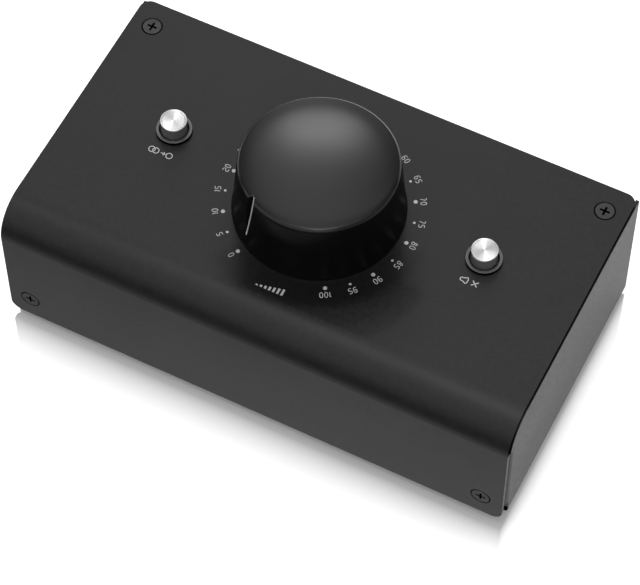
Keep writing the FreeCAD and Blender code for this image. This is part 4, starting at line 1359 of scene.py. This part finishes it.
@dataclass
class PushButton(Assembly):
    """One push button: bezel, turned cap on a stem, spring, plunger and switch.

    Args:
        name: Start of its nodes' names.
        body: The body that its cap rides on.
        x: The axis's x.
        twist: Turn of the light on its cap, as a share of a full circle.
        y: The axis's y.
        cap_radius: Radius of the cap.
        cap_top: Height of the cap's rim.
        cap_thick: Thickness of the cap.
        cap_round: Radius of the rim's rounding.
        cap_rim: Width of the bright rim, rounding included.
        cap_step: Width and depth of the step from the rim down to the dish.
        cap_dish: How much deeper the dish's middle is; the lower edge is cut off by as much.
        spigot: Radius and length of the pin under the cap.
        stem_radius: Radius of the stem.
        stem_low: Height of the stem's lower end.
        collar: Radius and height of the stem's collar.
        eased: How far the collar's edges, the stem's foot and its upper edge are cut off.
        play: Room round the pin, and below it.
        bezel: Outer radius, bore, sleeve radius and lower height of the bezel.
        bezel_round: Radii of its outer and inner rounding.
        cover_top: Height of the cover's face.
        bezel_high: How far the bezel stands above it.
        spring_radius: Radius of the spring's coil.
        spring_ends: Heights of its lower and upper end.
        wire: Radius of its wire.
        turns: Number of free turns.
    """

    name: str
    body: Part
    x: float
    twist: float
    y: float = 4.7
    cap_radius: float = 3.55
    cap_top: float = 49.7
    cap_thick: float = 0.6
    cap_round: float = 0.13
    cap_rim: float = 0.36
    cap_step: Pair = (0.06, 0.01)
    cap_dish: float = 0.08
    spigot: Pair = (1.6, 1.5)
    stem_radius: float = 3.48
    stem_low: float = 40.4
    collar: Pair = (4.3, 2.1)
    eased: tuple[float, float, float] = (0.15, 0.1, 0.05)
    play: Pair = (0.05, 0.1)
    bezel: tuple[float, float, float, float] = (4.87, 4.0, 4.45, 42.9)
    bezel_round: Pair = (0.12, 0.10)
    cover_top: float = 45.0
    bezel_high: float = 1.0
    spring_radius: float = 2.9
    spring_ends: Pair = (36.05, 40.35)
    wire: float = 0.17
    turns: float = 4.0

    def cap(self) -> Surface:
        """Turned disc with a shallow dish, a bright rounded rim and a pin below.

        Returns:
            The surface.
        """
        radius, top, low, ease = self.cap_radius, self.cap_top, self.cap_top - self.cap_thick, self.cap_round
        (wide, down), deep, (pin_r, pin) = self.cap_step, self.cap_dish, self.spigot
        dish = np.linspace(radius - self.cap_rim - wide, 0.0, 12)
        face = np.stack([dish, top - down - deep * (1 - (dish / radius) ** 2)], -1)
        rim = arc(radius - ease, top - ease, ease, 0, 90, 5)
        below = [[0.0, low - pin], [pin_r, low - pin], [pin_r, low], [radius - deep, low], [radius, low + deep]]
        return lathe(np.concatenate([below, rim, [[radius - self.cap_rim, top]], face]), self.x, self.y)

    def stem(self) -> Surface:
        """Moulded stem with its collar, eased at the shoulders and hollow for the cap's pin.

        Returns:
            The surface.
        """
        top, low, r = self.cap_top - self.cap_thick, self.stem_low, self.stem_radius
        (wide, collar), (hole, deep) = self.collar, np.array(self.spigot) + self.play
        edge, foot, tip = self.eased
        skin = [[0.0, low], [wide - edge, low], [wide, low + edge], [wide, low + collar - edge],
                [wide - edge, low + collar], [r + foot, low + collar], [r, low + collar + foot],
                [r, top - tip], [r - tip, top], [hole, top], [hole, top - deep], [0.0, top - deep]]
        return lathe(np.array(skin), self.x, self.y)

    def ring(self) -> Surface:
        """Bezel: a sleeve with a low flange whose outer and inner edges are rounded.

        Returns:
            The surface.
        """
        outer, bore, sleeve, low = self.bezel
        face, (out, inn) = self.cover_top, self.bezel_round
        top = face + self.bezel_high
        skin = np.concatenate([[[bore, low], [sleeve, low], [sleeve, face], [outer, face]],
                               arc(outer - out, top - out, out, 0, 90, 5),
                               arc(bore + inn, top - inn, inn, 90, 180, 4)])
        return lathe(skin, self.x, self.y, closed=True)

    def spring(self) -> Surface:
        """Coil spring: a circle of wire carried along a helix whose end turns lie flat.

        The path at turn t is (R cos 2 pi t, R sin 2 pi t, height). The height rises evenly over the free
        turns and stays level for half a turn before and after them.

        Returns:
            The surface.
        """
        t = np.linspace(-0.5, self.turns + 0.5, int(self.turns + 1) * 28 + 1)
        a, b = 2 * np.pi * t, 2 * np.pi * np.arange(10) / 10
        low, high = self.spring_ends[0] + self.wire, self.spring_ends[1] - self.wire
        side = np.stack([np.cos(a), np.sin(a), 0 * a], -1)
        path = self.spring_radius * side + [self.x, self.y, low]
        path[:, 2] += (high - low) * np.clip(t / self.turns, 0, 1)
        up = np.cross(units(np.gradient(path, axis=0)), side)
        return swept(path, side, up, self.wire * np.stack([np.cos(b), np.sin(b)], -1))

    def build(self) -> None:
        """Builds the turned and moulded pieces and dresses the switch and the plunger."""
        p, n, axis = self.paint, self.name, {"axis_x": self.x, "axis_y": self.y}
        metal = TurnedMetal(n + "_turned_cap", grey(0.455), 0.36, 0.5, 1.0, relief=0.12, depth=0.01,
                            twist=self.twist, **axis)
        ring = RingMoulding(n + "_bezel_moulding", grey(0.058), 0.34, 0.4, grain=4200.0, relief=0.1, tone=0.1,
                            outer=self.bezel[0], **axis)
        add_piece(self.cap(), n + "_turned_disc", self.body, p[metal], [n + "_cap"])
        add_piece(self.stem(), n + "_moulded_stem", self.body, p[p.stem], [n + "_stem"])
        add_piece(self.ring(), n + "_bezel_ring", Part.CASE, p[ring], [n + "_bezel"])
        coil = add_piece(self.spring(), n + "_coil", Part.CASE, p[p.spring], [n + "_spring"])
        travel = next(j for j in frame["joints"] if j["name"] == n + "_press")["range_m"][1] / MM
        low, high = self.spring_ends
        low * MM
        1 - travel / (high - low)
        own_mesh(coil)
        dress_nodes(p[p.plunger], n + "_plunger")
        dress_nodes(p[p.switch], n + "_switch")


class Potentiometer(Assembly):
    """The rotary control's visible and inner pieces."""

    dressed = {Paintbox.bright: ("pot_can", "pot_washer", "pot_nut", "pot_pins"),
               Paintbox.brass: ("pot_bushing",), Paintbox.switch: ("pot_wiper",),
               Paintbox.phenolic: ("pot_track",)}


class Electronics(Assembly):
    """Boards, posts, screws, cable and sockets."""

    dressed = {Paintbox.board: ("control_board", "socket_board"), Paintbox.brass: ("standoffs",),
               Paintbox.bright: ("board_screws", "mini_jack_nut"), Paintbox.cable: ("flat_cable",),
               Paintbox.plastic: ("cable_headers", "line_jacks", "line_jack_nuts", "mini_jack")}


# ---------------------------------------------------------------- dial print

DIGITS: dict[str, tuple[Pair, ...]] = {
    "0": ((0.0, 0.0), (1.0, 0.0), (1.0, 1.0), (0.0, 1.0)),
    "1": ((0.15, 0.78), (0.55, 1.0), (0.55, 0.0)),
    "2": ((0.0, 1.0), (1.0, 1.0), (1.0, 0.52), (0.0, 0.48), (0.0, 0.0), (1.0, 0.0)),
    "3": ((0.0, 1.0), (1.0, 1.0), (1.0, 0.5), (0.2, 0.5), (1.0, 0.5), (1.0, 0.0), (0.0, 0.0)),
    "4": ((1.0, 0.3), (0.0, 0.3), (0.7, 1.0), (0.7, 0.0)),
    "5": ((1.0, 1.0), (0.0, 1.0), (0.0, 0.52), (1.0, 0.52), (1.0, 0.0), (0.0, 0.0)),
    "6": ((1.0, 1.0), (0.0, 1.0), (0.0, 0.0), (1.0, 0.0), (1.0, 0.54), (0.06, 0.54)),
    "7": ((0.0, 1.0), (1.0, 1.0), (0.4, 0.0)),
    "8": ((0.0, 0.0), (1.0, 0.0), (1.0, 0.46), (0.15, 0.52), (0.15, 1.0), (0.85, 1.0), (0.85, 0.52),
          (0.0, 0.46)),
    "9": ((0.0, 0.0), (1.0, 0.0), (1.0, 1.0), (0.0, 1.0), (0.0, 0.46), (0.94, 0.46)),
}
CLOSED_DIGITS = "08"


@dataclass
class DialPrint(Assembly):
    """Scale of dots and numbers round the knob, and a plain sign at each control.

    Args:
        axis_y: The dial's middle in y.
        face: Height of the cover's face.
        film: Thickness of the ink.
        sunk: How far it reaches into the cover.
        dot_ring: Radius of the ring of dots.
        big_dot: Radius of the dots at the tens.
        small_dot: Radius of the dots between them.
        number_ring: Radius of the numbers' middle line.
        number_high: Height of a number.
        digit_wide: Width of a digit.
        one_wide: Width of the digit 1.
        one_middle: Share of a digit's width at which the upright of the 1 ends, its flag included.
        gap: Space between digits.
        pen: Stroke width.
        sign_pen: Stroke width of the thin signs.
        bar: Width of a bar of the level sign.
        hoop_radius: Radius of a printed circle.
        horn_pen: Stroke width of the loudspeaker.
        cross_pen: Stroke width of the cross.
        first_angle: Where the scale starts, degrees.
        step: Angle from one mark to the next, degrees.
        marks: Number of marks.
    """

    axis_y: float = 0.35
    face: float = 45.0
    film: float = 0.03
    sunk: float = 0.02
    dot_ring: float = 25.0
    big_dot: float = 0.635
    small_dot: float = 0.41
    number_ring: float = 27.05
    number_high: float = 1.72
    digit_wide: float = 0.98
    one_wide: float = 0.62
    one_middle: float = 0.7
    gap: float = 0.30
    pen: float = 0.2
    sign_pen: float = 0.24
    bar: float = 0.62
    hoop_radius: float = 0.85
    horn_pen: float = 0.28
    cross_pen: float = 0.30
    first_angle: float = -120.0
    step: float = 15.0
    marks: int = 21

    def line(self, path: Any, width: float, ring: bool = False) -> Surface:
        """Ink stroke on the face along a path in the plane."""
        return stroke(np.asarray(path, float), width, self.face - self.sunk, self.face + self.film, ring)

    def number(self, text: str) -> Surface:
        """Number centred on the origin, upright along +Y.

        Args:
            text: Its digits.

        Returns:
            The surface.
        """
        widths = np.array([self.one_wide if c == "1" else self.digit_wide for c in text])
        ends = np.cumsum(widths + self.gap)
        made = []
        for c, wide, end in zip(text, widths, ends - (ends[-1] - self.gap) / 2):
            box = self.one_wide / self.one_middle if c == "1" else self.digit_wide
            left = end - wide - self.gap + self.pen / 2
            path = (np.array(DIGITS[c]) * [box - self.pen, self.number_high - self.pen]
                    + [left, (self.pen - self.number_high) / 2])
            ring = c in CLOSED_DIGITS
            made.append(self.line(rounded_path(path, ring, 2), self.pen, ring))
        return Surface.joined(made)

    def scale(self) -> Surface:
        """All the numbers, each with its foot towards the knob."""
        return Surface.joined([self.number(str(5 * k)).moved(0, self.number_ring).turned(
            self.first_angle - self.step * k - 90).moved(0, self.axis_y) for k in range(self.marks)])

    def dots(self) -> Surface:
        """Ring of dots, larger at the tens.

        Returns:
            The surface.
        """
        k = np.arange(self.marks)
        a = np.radians(self.first_angle - self.step * k)
        x, y = self.dot_ring * np.cos(a), self.axis_y + self.dot_ring * np.sin(a)
        size = np.where(k % 2 == 0, self.big_dot, self.small_dot)
        return Surface.joined([blob(*place, self.face - self.sunk, self.face + self.film)
                               for place in zip(x, y, size)])

    def hoop(self, x: float, y: float) -> Surface:
        """Printed circle round x, y."""
        a, r = np.arange(40) * (2 * np.pi / 40), self.hoop_radius
        return self.line(np.stack([x + r * np.cos(a), y + r * np.sin(a)], -1), self.sign_pen, True)

    def level_sign(self, x: float, y: float) -> Surface:
        """Row of seven rising bars for loudness, centred on x, y.

        Args:
            x: Its middle's x.
            y: Its middle's y.

        Returns:
            The surface.
        """
        lefts, low = x - 3.5 + 1.17 * np.arange(7), y - 0.98
        return Surface.joined([self.line([[left, low], [left, low + high]], self.bar)
                               for left, high in zip(lefts, np.linspace(0.35, 1.95, 7))])

    def mono_sign(self, x: float, y: float) -> Surface:
        """Two linked rings, an arrow and one ring, centred on x, y.

        Args:
            x: Its middle's x.
            y: Its middle's y.

        Returns:
            The surface.
        """
        arrow = [[[x + 0.15, y], [x + 1.35, y]], [[x + 0.85, y + 0.5], [x + 1.4, y], [x + 0.85, y - 0.5]]]
        return Surface.joined([self.hoop(x + dx, y) for dx in (-2.5, -1.35, 2.6)]
                              + [self.line(path, self.sign_pen) for path in arrow])

    def mute_sign(self, x: float, y: float) -> Surface:
        """Loudspeaker with a cross beside it, centred on x, y.

        Args:
            x: Its middle's x.
            y: Its middle's y.

        Returns:
            The surface.
        """
        horn = np.array([[-2.6, -0.48], [-1.75, -0.48], [-0.6, -1.15], [-0.6, 1.15], [-1.75, 0.48],
                         [-2.6, 0.48]]) + [x, y]
        cross = [self.line([[x + 0.65, y - rise], [x + 2.2, y + rise]], self.cross_pen)
                 for rise in (0.75, -0.75)]
        return Surface.joined([self.line(rounded_path(horn, True, 1), self.horn_pen, True)] + cross)

    def build(self) -> None:
        """Prints the scale, the dots and the three signs."""
        signs = [self.level_sign(-0.05, -27.33), self.mono_sign(-44.95, -3.1), self.mute_sign(44.6, -3.1)]
        for name, print_ in (("dial_numbers", self.scale()), ("dial_dots", self.dots()),
                             ("control_signs", Surface.joined(signs))):
            add_piece(print_, name, Part.CASE, self.paint[self.paint.ink])


# ---------------------------------------------------------------- studio

@dataclass(frozen=True)
class TentLight:
    """Level of the light that comes from each direction.

    It is the room's level, less what the dark front or the sides take away, whichever is more, less the
    band's share, plus the strip's. Along is the part of the direction to the view's right and across the part
    away from it, both level; aside is the distance from the view's middle. A ramp is given as its two ends
    and its values at them.

    Args:
        room: Level of the room.
        right: The view's right in x and y.
        shift: How far the middle lies to the left.
        front: Ramp of the direction's part towards the front.
        low: Ramp of its height.
        depth: What the dark front takes away.
        near: Ramp of across for the sides.
        rear: The same further back.
        sides: What they take away, by aside.
        left: What the left takes away, by along.
        left_near: Share of it, by across.
        far_right: What the right takes away, by along.
        band_at: Where across the band lies.
        band: What it takes away, by the distance from there.
        strip: Share of the strip, by the distance across from the middle.
        strip_glow: What it adds, by aside.
        strip_end: Share of it, by aside.
    """

    room: float = 2.52
    right: Pair = (0.893, 0.450)
    shift: float = 0.03
    front: Ramp = (0.15, 0.55, 0.0, 1.0)
    low: Ramp = (0.16, 0.52, 1.0, 0.0)
    depth: float = 1.4
    near: Ramp = (0.42, 0.52, 0.45, 1.0)
    rear: Ramp = (0.58, 0.70, 1.0, 0.5)
    sides: Ramp = (0.0, 0.20, 0.0, 1.7)
    left: Ramp = (-0.33, -0.08, 1.8, 0.0)
    left_near: Ramp = (0.15, 0.33, 0.55, 1.0)
    far_right: Ramp = (0.11, 0.33, 0.0, 1.8)
    band_at: float = 0.26
    band: Ramp = (0.05, 0.13, 0.6, 0.0)
    strip: Ramp = (0.04, 0.11, 1.0, 0.0)
    strip_glow: Ramp = (0.15, 0.35, 1.6, 2.6)
    strip_end: Ramp = (0.60, 0.75, 1.0, 0.0)

    def level(self, g: Graph) -> Value:
        """The level in the direction from the set's middle to the place on the tent.

        Args:
            g: The graph of the tent's material.

        Returns:
            The level.
        """
        x, y, z = g.parts(g.value("VectorMath", {0: g.place()}, operation="NORMALIZE"))
        u, v = self.right
        along, across = x * u + y * v, y * u - x * v
        aside = abs(along + self.shift)
        dark = g.ramp(y * -1.0, *self.front) * g.ramp(z, *self.low) * self.depth
        sides = g.ramp(across, *self.near) * g.ramp(across, *self.rear) * g.ramp(aside, *self.sides)
        left = g.ramp(along, *self.left) * g.ramp(across, *self.left_near)
        taken = g.most(g.most(dark, sides), g.most(left, g.ramp(along, *self.far_right)))
        band = g.ramp(abs(across - self.band_at), *self.band)
        strip = g.ramp(abs(across), *self.strip) * g.ramp(aside, *self.strip_glow)
        return self.room - (taken + band) + strip * g.ramp(aside, *self.strip_end)


@dataclass
class Studio:
    """Table, reflection tent, cloths, flag, lamps and world.

    Args:
        table_half: Half the table's side in metres.
        glow: What the table itself adds for the rays that see it.
        foot: Half of the object's width and depth, for the sheen near it.
        fade: Distance over which the table's mirror sheen falls to a third, at the sides and in front.
        gloss: Mirror share that each fall starts from.
        sheen: Largest mirror share.
        tent_far: Radius of the tent.
        cloth_half: Half the cloths' width.
        cloth_high: Their height above the table.
        glow_change: Left and right end in metres of the change between a cloth's two glows.
        flag_at: Direction of the flag's middle from the knob, degrees.
        knob_y: The knob's y.
        lamp_far: Distance of the lamps in metres.
        lamp_aim: Height in metres of the point that they face.
    """

    table_half: float = 6.0
    glow: float = 0.42
    foot: Pair = (73.15, 40.0)
    fade: Pair = (2.1, 6.5)
    gloss: Pair = (0.78, 0.88)
    sheen: float = 0.68
    tent_far: float = 3000.0
    cloth_half: float = 1500.0
    cloth_high: float = 0.15
    glow_change: Pair = (-0.09, 0.06)
    flag_at: float = -63.0
    knob_y: float = 0.35
    lamp_far: float = 1.6
    lamp_aim: float = 0.04

    def stage_piece(self, surface: Surface, name: str, material: bpy.types.Material) -> bpy.types.Object:
        """Builds a piece of the set, which isn't part of the object.

        Args:
            surface: Its shape.
            name: Its name.
            material: Its material.

        Returns:
            The object.
        """
        made = surface.build(name)
        made.data.materials.append(material)
        return made

    def sheet(self, half: float, front: float, rear: float, height: float, steps: int = 24) -> Surface:
        """Level sheet: an even grid of x and y at one height.

        Args:
            half: Half of its width.
            front: The y of its front edge.
            rear: The y of its rear edge.
            height: Its height.
            steps: Number of cells each way.

        Returns:
            The surface.
        """
        y, x = np.meshgrid(np.linspace(front, rear, steps + 1), np.linspace(-half, half, steps + 1),
                           indexing="ij")
        return Surface.from_grid(np.stack([x, y, np.full_like(x, height)], -1))

    def table_material(self) -> bpy.types.Material:
        """White gloss table that glows for the rays that see it and keeps the object's shadow.

        Its mirror share is the gloss times e to the power of minus the distance outside the foot over the
        fade, at the sides or in front, whichever is less, and at most the sheen. Only the camera sees it.

        Returns:
            The material.
        """
        made = bare_material("white_table")
        g = Graph(made.node_tree)
        path = g.node("LightPath").outputs
        camera, glossy, through = (Value(g, path[f"Is {ray} Ray"])
                                   for ray in ("Camera", "Glossy", "Transmission"))
        seen = g.math("ADD", camera, glossy + through, clamp=True)
        grain = g.value("TexNoise", {"Vector": g.place(), "Scale": 30.0, "Detail": 2.0})
        white = g.mix(grain, grey(0.86), grey(0.90))
        paper = g.node("AddShader", {0: g.node("BsdfDiffuse", {"Color": white}),
                                     1: g.node("Emission", {"Color": grey(1.0), "Strength": seen * self.glow})})
        mirror = g.node("BsdfGlossy", {"Color": grey(1.0), "Roughness": 0.03})
        share = self.sheen
        for far, foot, fade, gloss in zip(g.parts(g.place()), self.foot, self.fade, self.gloss):
            inside = g.math("DIVIDE", foot * MM - abs(far), fade * MM)
            share = g.math("MINIMUM", share, g.math("EXPONENT", inside) * gloss)
        g.node("OutputMaterial", {"Surface": g.node("MixShader", {0: share * camera, 1: paper, 2: mirror})})
        return made

    def flag(self, inner: float, outer: float, half: float, height: float) -> Surface:
        """Level sector of a ring over the front of the knob, which deepens the knob's reflection.

        Args:
            inner: Inner radius.
            outer: Outer radius.
            half: Half of its angle in degrees.
            height: Height above the table.

        Returns:
            The surface, with the angle along a row and the radius from row to row.
        """
        a, r = np.meshgrid(np.radians(np.linspace(self.flag_at - half, self.flag_at + half, 49)),
                           np.linspace(inner, outer, 3))
        return Surface.from_grid(np.stack([r * np.cos(a), self.knob_y + r * np.sin(a),
                                           np.full_like(r, height)], -1))

    def tent(self) -> Surface:
        """Dome round the set, a little past level below.

        A point is the tent's radius times (cos e cos a, cos e sin a, sin e), with the azimuth a along a row
        and the elevation e from row to row.

        Returns:
            The surface.
        """
        e, a = np.meshgrid(np.radians(np.linspace(-2, 90, 24)), np.radians(np.arange(0, 360, 7.5)),
                           indexing="ij")
        ray = np.stack([np.cos(e) * np.cos(a), np.cos(e) * np.sin(a), np.sin(e)], -1)
        return Surface.from_grid(ray * self.tent_far, wrap_cols=True)

    def tent_material(self) -> bpy.types.Material:
        """Tent light that only reflections show: white above and behind, dark low in front.

        Returns:
            The material.
        """
        made = bare_material("tent_light")
        g = Graph(made.node_tree)
        g.node("OutputMaterial", {"Surface": g.node("Emission", {"Strength": TentLight().level(g)})})
        made.cycles.emission_sampling = "NONE"
        return made

    def cloth_material(self, name: str, left: float, right: float) -> bpy.types.Material:
        """Cloth that glows upwards and can't be seen from below.

        Args:
            name: Its name.
            left: Its glow left of the object.
            right: Its glow right of it.

        Returns:
            The material.
        """
        made = bare_material(name)
        g = Graph(made.node_tree)
        weave = g.value("TexNoise", {"Vector": g.place(), "Scale": 20.0})
        tone = (g.ramp(weave, 0.2, 0.8, 0.95, 1.05)
                * g.ramp(g.parts(g.place())[0], *self.glow_change, left, right))
        g.node("OutputMaterial", {"Surface": g.node("MixShader", {
            0: g.value("NewGeometry", out="Backfacing"), 1: g.node("Emission", {"Strength": tone}),
            2: g.node("BsdfTransparent")})})
        made.cycles.emission_sampling = "NONE"
        return made

    def only_in_reflections(self, piece: bpy.types.Object) -> None:
        """Hides a piece from every ray but a glossy one and a shadow's."""
        for ray in ("camera", "diffuse", "transmission", "volume_scatter"):
            setattr(piece, "visible_" + ray, False)

    def lamp(self, name: str, ray: Sequence[float], wide: float, high: float, power: float) -> None:
        """Soft rectangular lamp aimed at the object.

        Args:
            name: Its name.
            ray: Direction from the object to it.
            wide: Width in metres.
            high: Height in metres.
            power: Power in watts.
        """
        data = bpy.data.lights.new(name, "AREA")
        data.shape, data.size, data.size_y, data.energy = "RECTANGLE", wide, high, power
        made, aim = linked(name, data), Vector(ray).normalized()
        made.location = aim * self.lamp_far + Vector((0, 0, self.lamp_aim))
        made.rotation_euler = aim.to_track_quat("Z", "Y").to_euler()

    def world(self) -> None:
        """White surroundings of strength 1 for every ray."""
        made = bpy.data.worlds.new("white_room")
        bpy.context.scene.world = made
        made.use_nodes = True
        made.node_tree.nodes.clear()
        g = Graph(made.node_tree)
        g.node("OutputWorld", {"Surface": g.node("Background", {"Color": grey(1.0), "Strength": 1.0})})

    def build(self) -> None:
        """Sets up the table, the tent, the cloths, the flag, the lamps and the world."""
        half = self.table_half / MM
        table = self.sheet(half, front=-half, rear=half, height=0.0)
        self.stage_piece(table, "table", self.table_material())
        black = self.cloth_material("black_cloth", left=0.02, right=0.04)
        lit = self.cloth_material("grey_cloth", left=0.90, right=1.08)
        wide, high = self.cloth_half, self.cloth_high
        for name, surface, material in (
                ("tent", self.tent(), self.tent_material()),
                ("front_cloth", self.sheet(wide, front=-2500, rear=-79, height=high), black),
                ("near_cloth", self.sheet(wide, front=-79, rear=-40.2, height=high), lit),
                ("flag", self.flag(inner=23.0, outer=31.0, half=60.0, height=58.0), black)):
            piece = self.stage_piece(surface, name, material)
            self.only_in_reflections(piece)
            piece.visible_shadow = name == "flag"
        self.lamp("rear_softbox", (-0.280, 0.561, 0.778), wide=0.23, high=0.12, power=1.20)
        self.lamp("top_softbox", (0.03, -0.05, 1.0), wide=0.34, high=0.34, power=6.5)
        self.world()
        log.info("studio ready")


@dataclass
class ViewCamera:
    """Camera at the product view.

    Args:
        place: Position in millimetres.
        ahead: Direction of view.
        right: Direction of the image's right.
        lens: Focal length in millimetres on a 36 mm wide frame.
    """

    place: tuple[float, float, float] = (189.09, -372.74, 671.30)
    ahead: tuple[float, float, float] = (-0.23975, 0.47329, -0.84765)
    right: tuple[float, float, float] = (0.89321, 0.44963, -0.00158)
    lens: float = 163.49

    def build(self) -> None:
        """Makes the camera and sets it as the scene's."""
        data = bpy.data.cameras.new("product_view")
        data.lens, data.sensor_width, data.sensor_fit = self.lens, 36.0, "HORIZONTAL"
        data.clip_start, data.clip_end = 0.01, 50.0
        made = linked("product_view", data)
        back, right = -Vector(self.ahead).normalized(), Vector(self.right)
        right = (right - back * right.dot(back)).normalized()
        turn = Matrix((right, back.cross(right), back)).transposed().to_4x4()
        made.matrix_world = Matrix.Translation(Vector(self.place) * MM) @ turn
        bpy.context.scene.camera = made
        log.info("camera ready")


def main() -> None:
    """Builds the camera, the set and each sub-assembly in order."""
    logging.basicConfig(level=logging.INFO, format="%(name)s: %(message)s")
    bpy.context.scene.view_settings.view_transform = "Standard"
    ViewCamera().build()
    Studio().build()
    paint = Paintbox(SharedEffects())
    for part in (Enclosure(paint), VolumeKnob(paint), Potentiometer(paint),
                 PushButton(paint, "left_button", Part.LEFT_BUTTON, x=-45.0, twist=0.34),
                 PushButton(paint, "right_button", Part.RIGHT_BUTTON, x=45.0, twist=0.21),
                 Electronics(paint), DialPrint(paint)):
        part.build()


if __name__ == "__main__":
    main()
